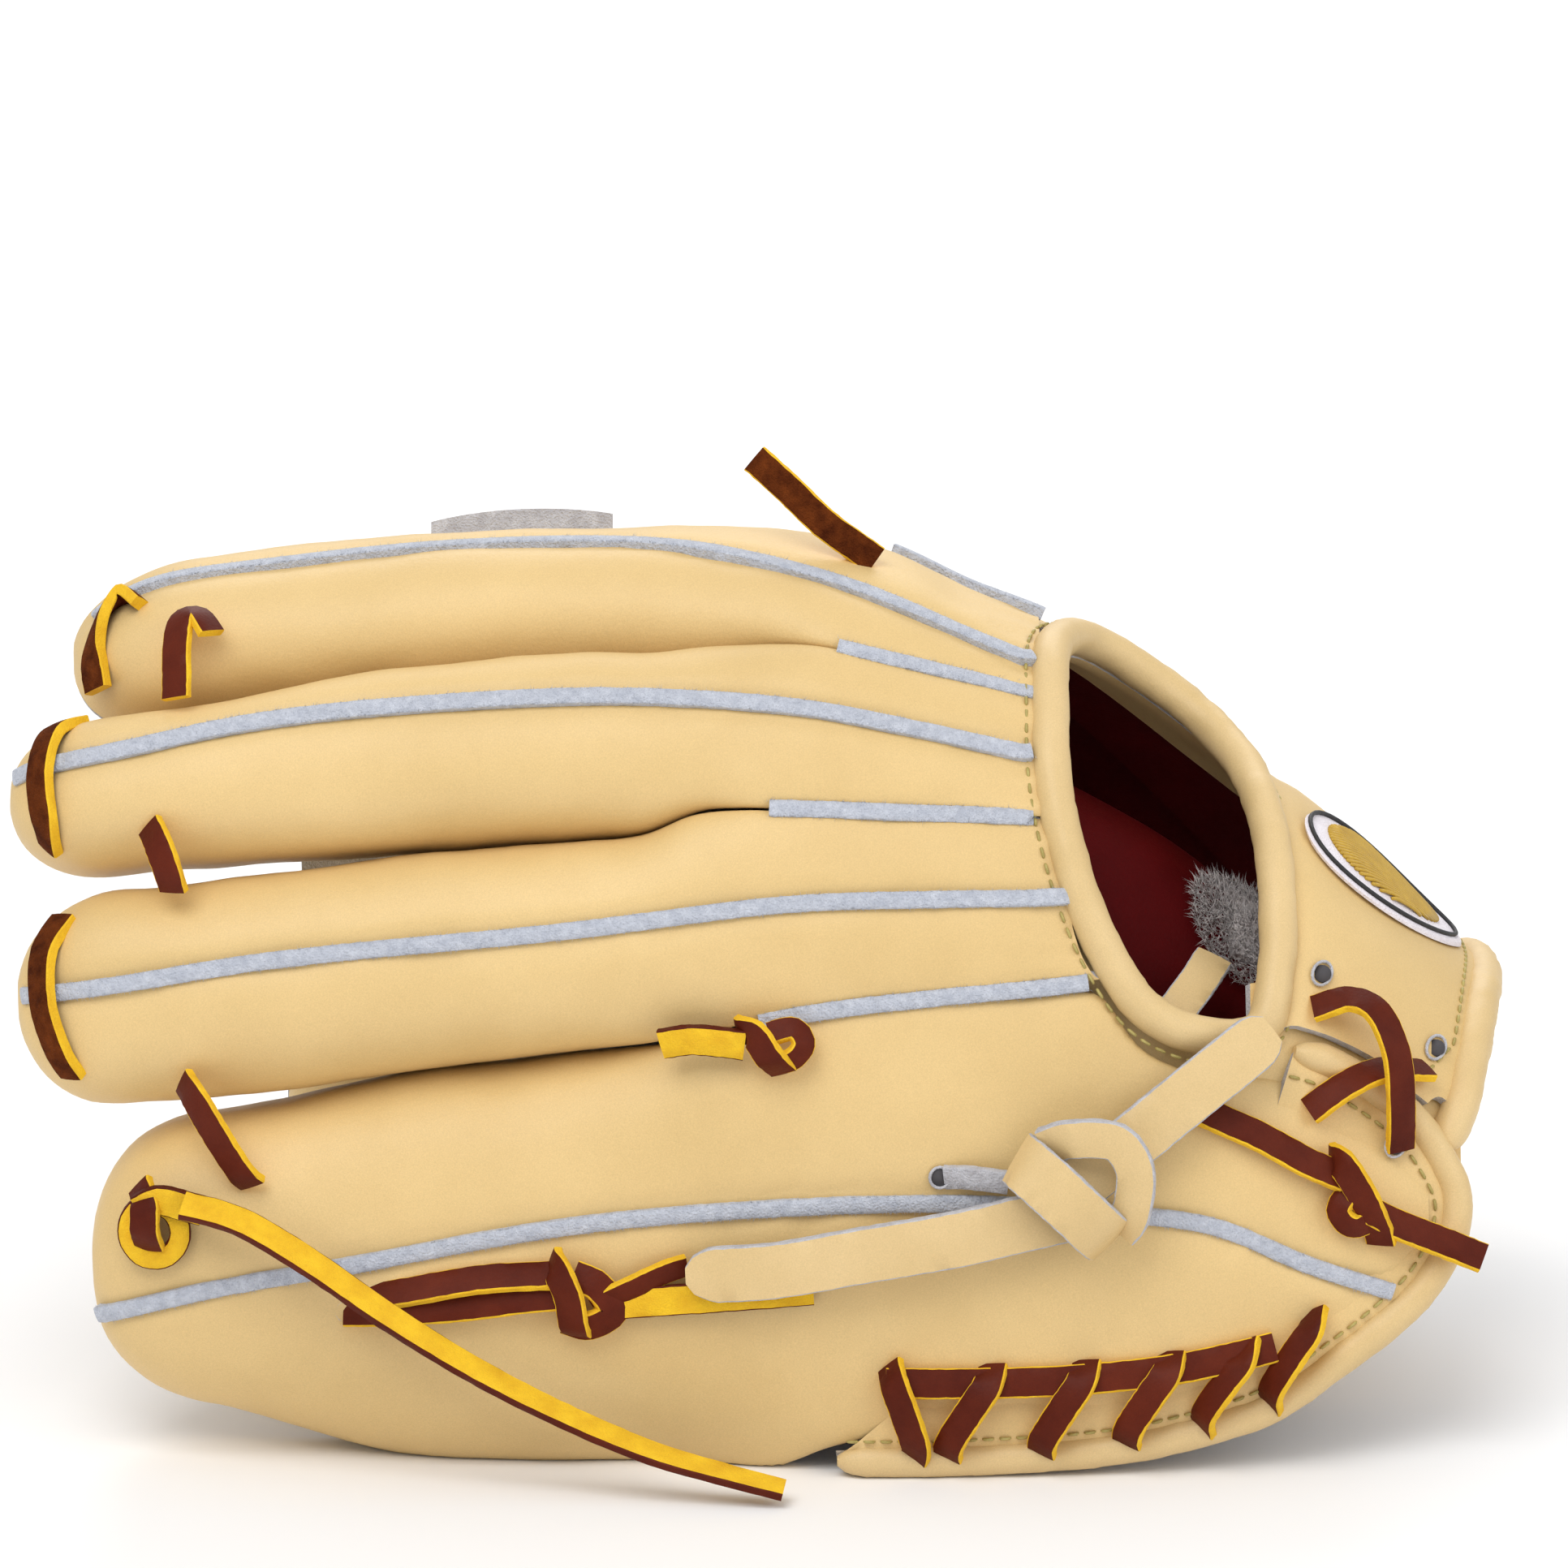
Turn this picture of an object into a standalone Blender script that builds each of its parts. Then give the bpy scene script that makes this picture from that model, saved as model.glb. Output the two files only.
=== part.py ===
"""A baseball fielder's glove standing on its two long edges like a tent, back of the hand up.

+X runs from the fingertips to the wrist, -Y is the side of the little finger, and +Z is up.
Every layer of the glove follows one arch: a point is given by its station x along the
glove, its distance s over the arch from the front floor edge, and its height t out from
the arch's middle surface. Lengths in the tables are millimetres, and MM makes them metres.
"""

import math

import bmesh
import bpy
import numpy as np

MM = 0.001
GAP = 0.5                      # left between layers that touch on the real glove

# The arch: the height and half width of its middle surface at each station.
ARCH_POWER = 2.4
ARCH_HEIGHT = [(-156, 148), (-127, 159), (-98, 163), (-63, 166), (-35, 167), (-6, 167), (27, 162),
               (44, 154), (60, 148), (78, 138), (95, 125), (107, 114), (120, 103), (145, 78),
               (156, 69)]
ARCH_HALF_WIDTH = [(-156, 56), (-100, 61), (-40, 64), (40, 64), (100, 60), (156, 50)]

# Finger stalls: (station, centre, half width) over the arch, and the station of the tip.
STALL_BASE = 4
STALL_CROWN = 12               # half the thickness of a finger
STALL_MIDDLE = 2               # its centre above the arch's middle surface
STALL_WALL = 4
STALL_DOME = 26                # length of the rounded tip
STALLS = {
    "pinky": dict(tip=-138, stations=[(-138, 41, 30), (-110, 42, 33), (-75, 39.5, 41), (-20, 41, 45),
                                      (4, 43, 44)]),
    "ring": dict(tip=-153, stations=[(-153, 95, 24), (-115, 98, 23.5), (-73, 104, 22),
                                     (-35, 108.5, 20.5), (4, 113, 19.5)]),
    "middle": dict(tip=-155, stations=[(-155, 137, 17), (-126, 139, 17.5), (-73, 146.5, 19.5),
                                       (-35, 148.5, 18), (4, 151, 16)]),
    "index": dict(tip=-143, stations=[(-143, 172, 22), (-126, 181, 23.5), (-73, 192, 24), (-35, 193, 24),
                                      (4, 193, 24.5)]),
}
THUMB = dict(tip=-102, stations=[(-102, 36, 30), (-80, 35, 34), (-50, 33.5, 38.5), (-10, 33.5, 38.5),
                                 (4, 34, 37)])

# Lines between the fingers, continued over the back of the hand.
RING_PINKY = [(-115, 72), (-73, 80), (-20, 88), (1, 93), (71, 99)]
MIDDLE_RING = [(-141, 119), (-35, 130), (-14, 134), (4, 134), (60, 130)]
INDEX_MIDDLE = [(-126, 157), (-73, 167), (6, 167), (18, 164), (58, 154)]
INDEX_EDGE = 219               # far edge of the index finger

# Seam strips along the middle of each finger's back.
PINKY_SEAM = [(-127, 34), (-82, 44), (-40, 52), (-6, 55.5), (70, 54), (95, 49.5), (112, 41.5),
              (131, 34)]
RING_SEAM = [(-140, 97), (-107, 103), (-40, 110.5), (11, 116), (58, 115)]
MIDDLE_SEAM = [(-142, 140), (-107, 148), (-65, 153), (-23, 154.5), (11, 152), (54, 142)]
INDEX_SEAM = [(-127, 178.5), (-99, 184.5), (-63, 190), (-23, 190), (11, 180), (54, 162)]
THUMB_SEAM = [(-86, 38), (-50, 36), (0, 38), (60, 42), (105, 44)]
WELT_WIDTH = 3.8
WELT_THICK = 1.8

# The back panels' sheets, and the hand hole between them and the wrist strap.
PANEL_IN, PANEL_OUT = 10.5, 14.0
BINDING = 4.0                  # radius of the rolled edges
HOLE = [(61, 168), (60, 150), (60.5, 136), (64, 121), (69.5, 107), (77, 95), (85, 89), (95, 86),
        (103.5, 87), (106.5, 97), (107, 108), (106.5, 119), (104.5, 132), (100, 150), (92, 166),
        (80, 178), (68, 181)]
HOLE_START = 58                # station where the rolled edge begins

# The palm: the face of the leather that looks into the hand space.
PALM_FACE = [(-150, -12), (-20, -12), (20, -20), (50, -26), (95, -26), (130, -20), (146, -16)]
PALM_LEATHER = 3.0
PALM_PADDING = 3.5
PALM_LINING = 1.2

# The thumb folds toward the fingers about this line, through the web and the palm's crease.
HINGE_START = (-130, 40, 112)
HINGE_END = (130, 40, 75)
FOLD_GAP = 5.0                 # from the line to the sheets on either side
PALM_FOLD_GAP = 11.5           # and to the palm's, which lie deeper and so close on each other more

# The wrist strap, given by its distance over the arch from the ridge.
STRAP_START = 112.5
STRAP_EDGE = [(0, 141), (0.1, 146), (0.22, 149.5), (0.4, 153), (0.58, 154.5), (0.76, 153),
              (1, 147)]            # station of its wrist edge, at parts of its length
STRAP_PART = 0.6               # of its length that lies on the little finger's side

# The heel's rolled edge on the little finger's side, from the hand hole round to the floor.
HEEL_EDGE = [(110, 81.5), (119, 77.5), (134, 66), (142, 55), (144, 48), (142, 41), (137, 34),
             (128, 27), (118, 20.5), (105, 12.5), (90, 8), (70, 4.5), (40, 3), (16, 3)]

STAND_SHIFT = (-2.5, 4.3, 0)   # brings the origin under the middle of the whole glove

LACE_WIDTH = 6.35
LACE_THICK = 1.8

LEATHER = (0.86, 0.60, 0.26)
WELT = (0.58, 0.61, 0.70)
LACE = (0.13, 0.02, 0.008)
YELLOW = (0.91, 0.53, 0.01)
RED = (0.06, 0.002, 0.003)
FLEECE = (0.75, 0.68, 0.64)
FELT = (0.85, 0.82, 0.84)
GOLD = (0.61, 0.37, 0.03)
TAN = (0.78, 0.53, 0.24)
FOAM = (0.45, 0.42, 0.38)

for old in list(bpy.data.objects):
    bpy.data.objects.remove(old, do_unlink=True)


def along(table, x):
    """The smooth curve through a table of (station, value) pairs, read at x."""
    stations = [row[0] for row in table]
    values = [row[1] for row in table]
    x = min(max(x, stations[0]), stations[-1])
    i = min(max(int(np.searchsorted(stations, x)) - 1, 0), len(table) - 2)

    def slope(k):
        before, after = max(k - 1, 0), min(k + 1, len(table) - 1)
        return (values[after] - values[before]) / (stations[after] - stations[before])

    step = stations[i + 1] - stations[i]
    q = (x - stations[i]) / step
    rise = 3 * q * q - 2 * q ** 3
    leave = (q ** 3 - 2 * q * q + q) * step * slope(i)
    arrive = (q ** 3 - q * q) * step * slope(i + 1)
    return values[i] * (1 - rise) + values[i + 1] * rise + leave + arrive


SECTIONS = {}


def section(x):
    """The arch at station x: points, distance over it and outward normals."""
    key = round(x, 3)
    if key not in SECTIONS:
        height, half = along(ARCH_HEIGHT, x), along(ARCH_HALF_WIDTH, x)
        angle = np.linspace(0, np.pi, 241)
        cosine, sine = np.cos(angle), np.abs(np.sin(angle))
        y = -half * np.sign(cosine) * np.abs(cosine) ** (2 / ARCH_POWER)
        z = height * sine ** (2 / ARCH_POWER)
        s = np.concatenate([[0], np.cumsum(np.hypot(np.diff(y), np.diff(z)))])
        dy, dz = np.gradient(y, s), np.gradient(z, s)
        size = np.hypot(dy, dz)
        SECTIONS[key] = (y, z, s, -dz / size, dy / size)
    return SECTIONS[key]


def total(x):
    return float(section(x)[2][-1])


def arch(x, s, t=0.0):
    """The point at station x, distance s over the arch and height t, never below the floor."""
    y, z, lengths, out_y, out_z = section(x)
    inside = min(max(s, 0.0), lengths[-1])
    under = abs(s - inside)
    across = np.interp(inside, lengths, y) + t * np.interp(inside, lengths, out_y)
    up = np.interp(inside, lengths, z) + t * np.interp(inside, lengths, out_z) - under
    return np.array([x, across, max(up, 0.0)])


def fold(x):
    """Distance over the arch, on the thumb's side, at which it is as high as the hinge line."""
    part = (x - HINGE_START[0]) / (HINGE_END[0] - HINGE_START[0])
    high = HINGE_START[2] + part * (HINGE_END[2] - HINGE_START[2])
    y, z, s, _, _ = section(x)
    half = len(z) // 2
    return float(np.interp(-high, -z[half:], s[half:]))


def material(name, colour, roughness):
    made = bpy.data.materials.new(name)
    made.use_nodes = True
    shader = made.node_tree.nodes["Principled BSDF"]
    shader.inputs["Base Color"].default_value = (*colour, 1)
    shader.inputs["Roughness"].default_value = roughness
    return made


def new_object(name, mesh_data, colour, roughness=0.6):
    """Gives the mesh its own object and material, with its origin at the glove's."""
    made = bpy.data.objects.new(name, mesh_data)
    made.data.materials.append(material(name, colour, roughness))
    bpy.context.scene.collection.objects.link(made)
    return made


def solid(name, points, faces, colour):
    """One closed body from points in millimetres, facing out."""
    shape = bmesh.new()
    corners = [shape.verts.new([value * MM for value in point]) for point in points]
    for face in faces:
        shape.faces.new([corners[i] for i in face])
    bmesh.ops.recalc_face_normals(shape, faces=shape.faces)
    data = bpy.data.meshes.new(name)
    shape.to_mesh(data)
    shape.free()
    data.shade_smooth()
    data.set_sharp_from_angle(angle=math.radians(45))
    return new_object(name, data, colour)


def loft(name, rings, colour, ring_closed=False):
    """Bridges rings of equally many points; the first and last ring are capped, or joined."""
    points = [point for ring in rings for point in ring]
    around, count = len(rings[0]), len(rings)
    faces = []
    for i in range(count if ring_closed else count - 1):
        for j in range(around):
            after, along_j = (i + 1) % count, (j + 1) % around
            faces.append((i * around + j, i * around + along_j, after * around + along_j,
                          after * around + j))
    if not ring_closed:
        for first in (0, (count - 1) * around):
            points.append(np.mean(points[first:first + around], axis=0))
            faces += [(first + j, first + (j + 1) % around, len(points) - 1)
                      for j in range(around)]
    return solid(name, points, faces, colour)


def sheet(name, place, rows, columns, t_in, t_out, colour):
    """A curved sheet: place(a, b) gives its (x, s) for a and b from 0 to 1."""
    def height(level, x):
        return along(level, x) if isinstance(level, list) else level

    spots = [place(i / rows, j / columns) for i in range(rows + 1) for j in range(columns + 1)]
    outer = [arch(x, s, height(t_out, x)) for x, s in spots]
    inner = [arch(x, s, height(t_in, x)) for x, s in spots]
    wide, half = columns + 1, len(spots)
    faces = []
    for i in range(rows):
        for j in range(columns):
            a = i * wide + j
            faces.append((a, a + 1, a + wide + 1, a + wide))
            faces.append((half + a, half + a + wide, half + a + wide + 1, half + a + 1))
    rim = list(range(columns)) + [i * wide + columns for i in range(rows)]
    rim += [rows * wide + j for j in range(columns, 0, -1)] + [i * wide for i in range(rows, 0, -1)]
    for a, b in zip(rim, rim[1:] + rim[:1]):
        faces.append((b, a, half + a, half + b))
    return solid(name, outer + inner, faces, colour)


def between(x0, x1, low, high):
    """A place function: rows run from station x0 to x1, columns from low(x) to high(x)."""
    def place(a, b):
        x = x0 + a * (x1 - x0)
        return x, low(x) + b * (high(x) - low(x))
    return place


def curve_points(route, count, closed=False):
    """Evenly spaced points of a smooth curve through the route's own points."""
    knots = [np.array(point, float) for point in route]
    n = len(knots)
    fine = []
    for i in range(n if closed else n - 1):
        if closed:
            p = [knots[(i + k) % n] for k in (-1, 0, 1, 2)]
        else:
            p = [knots[min(max(i + k, 0), n - 1)] for k in (-1, 0, 1, 2)]
        for q in np.linspace(0, 1, 12, endpoint=False):
            fine.append(0.5 * (2 * p[1] + (p[2] - p[0]) * q + (2 * p[0] - 5 * p[1] + 4 * p[2] - p[3])
                               * q ** 2 + (3 * p[1] - p[0] - 3 * p[2] + p[3]) * q ** 3))
    fine.append(knots[0] if closed else knots[-1])
    fine = np.array(fine)
    run = np.concatenate([[0], np.cumsum(np.linalg.norm(np.diff(fine, axis=0), axis=1))])
    wanted = np.linspace(0, run[-1], count + 1 if closed else count)
    spaced = np.stack([np.interp(wanted, run, fine[:, k]) for k in range(fine.shape[1])], axis=1)
    return spaced[:-1] if closed else spaced


def unit(vector):
    return vector / np.linalg.norm(vector)


def directions(points, closed=False):
    if closed:
        return [unit(points[(i + 1) % len(points)] - points[i - 1]) for i in range(len(points))]
    last = len(points) - 1
    return [unit(points[min(i + 1, last)] - points[max(i - 1, 0)]) for i in range(len(points))]


def outward(x, s):
    return unit(arch(x, s, 30) - arch(x, s, 20))


def strip(name, route, count, colour, width=LACE_WIDTH, thick=LACE_THICK):
    """A flat strip along a route of (x, s, t), lying on the arch with its middle at t."""
    spots = curve_points(route, count)
    points = np.array([arch(*spot) for spot in spots])
    rings = []
    for point, way, spot in zip(points, directions(points), spots):
        up = outward(spot[0], spot[1])
        side = unit(np.cross(way, up)) * width / 2
        up = unit(np.cross(side, way)) * thick / 2
        rings.append([point + side + up, point - side + up, point - side - up, point + side - up])
    return loft(name, rings, colour)


def free_strip(name, route, count, colour, up, width, thick):
    """A flat strip along a route of world points, its face looking along up."""
    points = curve_points(route, count)
    rings = []
    for point, way in zip(points, directions(points)):
        side = unit(np.cross(way, up)) * width / 2
        face = unit(np.cross(side, way)) * thick / 2
        rings.append([point + side + face, point - side + face, point - side - face,
                      point + side - face])
    return loft(name, rings, colour)


def roll(name, route, count, radius, colour, closed=False, sides=8):
    """A round rolled edge along a route of (x, s, t)."""
    spots = curve_points(route, count, closed)
    points = np.array([arch(*spot) for spot in spots])
    rings = []
    for point, way, spot in zip(points, directions(points, closed), spots):
        side = unit(np.cross(way, outward(spot[0], spot[1])))
        up = unit(np.cross(side, way))
        turn = [2 * math.pi * (k + 0.5) / sides for k in range(sides)]
        ring = [point + radius * (math.cos(a) * side + math.sin(a) * up) for a in turn]
        rings.append([np.array([p[0], p[1], max(p[2], 0.0)]) for p in ring])
    return loft(name, rings, colour, closed)


def round_power(value):
    """Squares an ellipse a little, as a stuffed finger is."""
    return math.copysign(abs(value) ** 0.85, value)


def stall(name, tip, stations, from_back=False):
    """A hollow finger, closed and rounded at the tip and open at its base."""
    centre = [(x, c) for x, c, _ in stations]
    half = [(x, h) for x, _, h in stations]
    around = 14

    def rings(inset):
        dome = [math.radians(angle) for angle in (22, 45, 68)]
        start = tip + inset
        stops = [(start + (STALL_DOME - inset) * (1 - math.cos(a)), math.sin(a)) for a in dome]
        stops += [(x, 1.0) for x in np.linspace(tip + STALL_DOME, STALL_BASE, 7)]
        made = []
        for x, size in stops:
            wide, tall = (along(half, x) - inset) * size, (STALL_CROWN - inset) * size
            ring = []
            for k in range(around):
                angle = 2 * math.pi * k / around
                s = along(centre, x) + wide * round_power(math.cos(angle))
                s = total(x) - s if from_back else s
                ring.append(arch(x, s, STALL_MIDDLE + tall * round_power(math.sin(angle))))
            made.append(ring)
        return made

    return loft(name, rings(0) + rings(STALL_WALL)[::-1], LEATHER)


def make_stalls():
    for finger, shape in STALLS.items():
        stall(f"{finger}_stall", shape["tip"], shape["stations"])
    stall("thumb_stall", THUMB["tip"], THUMB["stations"], from_back=True)


def edge_before_hole(s):
    """Station at which a back panel stops short of the hand hole's rolled edge."""
    left = [(s_hole, x) for x, s_hole in reversed(HOLE[:8])]
    return along(left, s) - BINDING - 2 * GAP


def make_back_panels():
    start = STALL_BASE + 2 * GAP

    def column(name, low, high, rows=6, columns=4):
        def across(x, b):
            return low(x) + GAP + b * (high(x) - low(x) - 2 * GAP)

        def place(a, b):
            stop = edge_before_hole(across(start + a * (HOLE_START - start), b))
            x = start + a * (stop - start)
            return x, across(x, b)
        sheet(name, place, rows, columns, PANEL_IN, PANEL_OUT, LEATHER)

    column("ring_back_panel", lambda x: along(RING_PINKY, x), lambda x: along(MIDDLE_RING, x))
    column("middle_back_panel", lambda x: along(MIDDLE_RING, x), lambda x: along(INDEX_MIDDLE, x))
    column("index_back_panel", lambda x: along(INDEX_MIDDLE, x), lambda x: 184 - 0.05 * x)

    behind = [(5, 186), (40, 190), (66, 188), (80, 185), (93, 174), (101, 158), (107, 150)]
    sheet("crotch_panel",
          between(start, 106, lambda x: along(behind, x), lambda x: fold(x) - FOLD_GAP),
          9, 4, PANEL_IN, PANEL_OUT, LEATHER)

    top = [(5, 93), (62, 98), (70, 97), (77, 87), (86, 81.5), (95, 79), (106, 77.5), (119, 71),
           (134, 59), (138, 53)]
    low = [(5, 4), (12, 8), (70, 9.5), (90, 13), (105, 18), (118, 26), (128, 33), (138, 44)]
    thumb_low = [(5, -1), (60, -1), (80, 4), (105, 16), (118, 26), (132, 38)]
    sheet("pinky_heel_panel",
          between(start, 138, lambda x: along(low, x), lambda x: along(top, x) - 3 * GAP),
          14, 5, PANEL_IN, PANEL_OUT, LEATHER)

    sheet("thumb_heel_panel",
          between(start, 132, lambda x: fold(x) + FOLD_GAP + 3,
                  lambda x: total(x) - along(thumb_low, x)),
          11, 4, PANEL_IN, PANEL_OUT, LEATHER)


def make_seams():
    """The strips lie on the stalls' crown, and further back on the panels."""
    on = PANEL_OUT + 2 * GAP + WELT_THICK / 2

    def welt(name, table, count, from_back=False):
        route = [(x, total(x) - s if from_back else s, on) for x, s in table]
        strip(name, route, count, WELT, WELT_WIDTH, WELT_THICK)

    welt("pinky_seam_strip", PINKY_SEAM, 20)
    welt("ring_seam_strip", RING_SEAM, 15)
    welt("middle_seam_strip", MIDDLE_SEAM, 15)
    welt("index_seam_strip", INDEX_SEAM, 15)
    welt("thumb_seam_strip", THUMB_SEAM, 15, from_back=True)
    for name, table, first, last in (("index_middle_gap_strip", INDEX_MIDDLE, 18, 52),
                                     ("middle_ring_gap_strip", MIDDLE_RING, 6, 54),
                                     ("ring_pinky_gap_strip", RING_PINKY, 6, 62)):
        welt(name, [(x, along(table, x)) for x in np.linspace(first, last, 4)], 7)


def make_rolled_edges():
    middle = (PANEL_IN + PANEL_OUT) / 2
    roll("hand_hole_binding", [(x, s, middle) for x, s in HOLE], 30, BINDING, LEATHER, closed=True)
    roll("heel_binding", [(x, s, middle) for x, s in HEEL_EDGE], 26, 3.4, LEATHER)


def palm_low(x):
    table = [(-147, 84), (-140, 56), (-130, 33), (-115, 20), (-95, 8), (-60, 3), (80, 4), (95, 11),
             (105, 17), (115, 23), (128, 31), (137, 40), (140, 52)]
    return along(table, x)


def palm_high(x):
    """Far edge: the index finger's up to the web's root, then the fold line."""
    tips = [(-147, 150), (-140, 176), (-126, 202), (-100, 213), (-73, 217), (-4, 217)]
    return along(tips, x) if x < 0 else fold(x) - PALM_FOLD_GAP


def raised(level, by):
    return [(x, value + by) for x, value in level]


def make_palm():
    rows, columns = 22, 12
    whole = between(-146, 139, palm_low, palm_high)

    def part_of_palm(first, last, margin):
        """The palm's own rows and columns, so that its layers stay parallel."""
        def place(a, b):
            row = first + a * (last - first)
            column = margin + b * (columns - 2 * margin)
            return whole(row / rows, column / columns)
        return place, last - first, columns - 2 * margin

    sheet("palm_leather", whole, rows, columns, raised(PALM_FACE, -PALM_LEATHER), PALM_FACE,
          LEATHER)
    padding = 2 * GAP
    sheet("palm_padding", *part_of_palm(13, 20, 1), raised(PALM_FACE, padding),
          raised(PALM_FACE, padding + PALM_PADDING), FOAM)
    lining = padding + PALM_PADDING + 2 * GAP
    sheet("palm_lining", *part_of_palm(12, 21, 1), raised(PALM_FACE, lining),
          raised(PALM_FACE, lining + PALM_LINING), RED)
    sheet("thumb_palm_leather",
          between(8, 128, lambda x: fold(x) + PALM_FOLD_GAP, lambda x: total(x) - palm_low(x) + 1),
          9, 5, raised(PALM_FACE, -PALM_LEATHER), PALM_FACE, LEATHER)
    sheet("thumb_face_leather",
          between(-94, 7, lambda x: total(x) - 66 - 0.05 * x, lambda x: total(x) - 4),
          7, 5, raised(PALM_FACE, -PALM_LEATHER), PALM_FACE, LEATHER)
    sheet("pinky_insert", between(14, 80, lambda x: 16, lambda x: 40), 5, 2, 6.5, 9.5, FOAM)
    sheet("thumb_insert",
          between(14, 80, lambda x: total(x) - 40, lambda x: total(x) - 16), 5, 2, 6.5, 9.5, FOAM)


def make_web():
    """Two leather halves that meet along the fold, each laced to its own finger."""
    t_in, t_out = -9.5, -6.0
    sheet("web_index_half",
          between(-116, -2, lambda x: INDEX_EDGE, lambda x: fold(x) - FOLD_GAP), 7, 4,
          t_in, t_out, LEATHER)
    sheet("web_thumb_half",
          between(-98, -2, lambda x: fold(x) + FOLD_GAP, lambda x: total(x) - 73.5), 7, 3,
          t_in, t_out, LEATHER)
    above = t_out + GAP + LACE_THICK / 2
    strip("web_index_lace", [(x, INDEX_EDGE + 6, above) for x in (-108, -70, -35, -8)], 8, LACE)
    strip("web_thumb_lace", [(x, total(x) - 80, above) for x in (-90, -60, -30, -8)], 8, LACE)


def strap_across(x, part):
    """Distance over the arch at a part of the strap's length, from the heel's rolled edge."""
    front = [(x_edge, s) for x_edge, s in HEEL_EDGE[:5]]
    low = along(front, x) + 4.5
    high = fold(min(x, 128)) - FOLD_GAP - 2 - 0.9 * max(x - 128, 0)
    return low + part * (high - low)


def make_wrist_strap():
    def place(start, inset, part_inset):
        def spot(a, b):
            part = part_inset + b * (1 - 2 * part_inset)
            x = start + a * (along(STRAP_EDGE, part) - BINDING - 2 * GAP - inset - start)
            return x, strap_across(x, part)
        return spot

    sheet("wrist_strap", place(STRAP_START, 0, 0), 5, 12, PANEL_IN, PANEL_OUT, LEATHER)
    sheet("strap_fleece", place(STRAP_START + 2, 4, 1 / 12), 4, 10, PANEL_IN - 6,
          PANEL_IN - 2 * GAP, FLEECE)
    edge = []
    for part in np.linspace(0.08, 1, 9):
        x = along(STRAP_EDGE, part)
        edge.append((x, strap_across(x, part), (PANEL_IN + PANEL_OUT) / 2))
    roll("strap_edge_roll", edge, 16, BINDING, LEATHER)


def oval(name, centre, half, t_in, t_out, colour, around=16):
    """A flat oval patch following the strap, its long axis turned down the wrist."""
    x0, w0 = centre
    turn = math.radians(42)

    def spot(radius, angle, t):
        a, b = half[0] * radius * math.cos(angle), half[1] * radius * math.sin(angle)
        x = x0 + a * math.cos(turn) - b * math.sin(turn)
        return arch(x, total(x) / 2 + w0 + a * math.sin(turn) + b * math.cos(turn), t)

    angles = [2 * math.pi * k / around for k in range(around)]
    rings = [[spot(r, angle, t) for angle in angles]
             for r, t in ((0.5, t_in), (1, t_in), (1, t_out), (0.5, t_out))]
    loft(name, rings, colour)


def make_patch():
    centre = (130, -9)
    felt = PANEL_OUT + 2 * GAP
    oval("felt_patch", centre, (19, 11), felt, felt + 2, FELT)
    oval("patch_embroidery", centre, (14, 7), felt + 2 + 2 * GAP, felt + 4.5, GOLD, 12)


def make_finger_laces():
    """Laces that tie neighbouring fingertips, and the loops over the tips."""
    over = STALL_MIDDLE + STALL_CROWN + GAP + 0.4 + LACE_THICK / 2
    strip("index_tip_lace", [(-139.5, 161, 8), (-136, 165, over - 4), (-131, 171, over + 1.5),
                             (-127, 172, over)], 5, LACE)
    strip("index_middle_lace", [(-124, 151, over), (-118, 158, over + 0.4), (-112, 166, over)], 5,
          LACE)
    strip("middle_tip_lace", [(-148, 125, over - 3), (-147, 137, over + 1), (-145, 148, over - 2)],
          5, LACE)
    strip("middle_ring_lace", [(-126, 113, over), (-124, 120, over), (-122, 128, over)], 4, LACE)
    strip("ring_tip_lace", [(-147.5, 84, over - 2), (-148.5, 95, over), (-147.5, 106, over - 2)],
          6, LACE)
    strip("ring_pinky_lace", [(-117.5, 79, over), (-112, 71, over), (-106, 62, over)], 5, LACE)


def knot(name, centre, radii, colour):
    """A rounded lump where a strip is tied."""
    x, s, t = centre
    spot, up = arch(x, s, t), outward(x, s)
    way = unit(arch(x + 1, s, t) - arch(x - 1, s, t))
    side = unit(np.cross(up, way))
    rings = []
    for polar in (25, 60, 95, 130, 160):
        p = math.radians(polar)
        ring = []
        for k in range(10):
            a = 2 * math.pi * k / 10
            ring.append(spot + radii[0] * math.cos(p) * way + math.sin(p)
                        * (radii[1] * math.cos(a) * side + radii[2] * math.sin(a) * up))
        rings.append(ring)
    loft(name, rings, colour)


def make_back_laces():
    on = PANEL_OUT + GAP + 0.5 + LACE_THICK / 2
    knot("pinky_tip_knot", (-124, 50, on + 2.6), (7, 7.5, 3), LACE)
    strip("pinky_back_lace", [(-86, 33, on), (-75, 34.5, on + 0.6), (-62, 37, on + 1),
                              (-46, 38.5, on + 1.5)], 6, LACE)
    knot("pinky_back_knot", (-37.5, 38.5, on + 2.2), (7, 7.5, 3.2), LACE)
    strip("pinky_back_tail", [(-29.5, 36, on + 1.6), (-12, 36, on + 1.2), (11, 37.5, on + 0.4)],
          6, YELLOW)
    knot("gap_knot", (1, 84, on + 2.6), (6.5, 6.5, 3), LACE)
    strip("top_lace_end", [(23, 184, on), (14, 187, on + 5), (6, 190, on + 11.5), (-1, 193, on + 16)],
          6, LACE)


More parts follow.
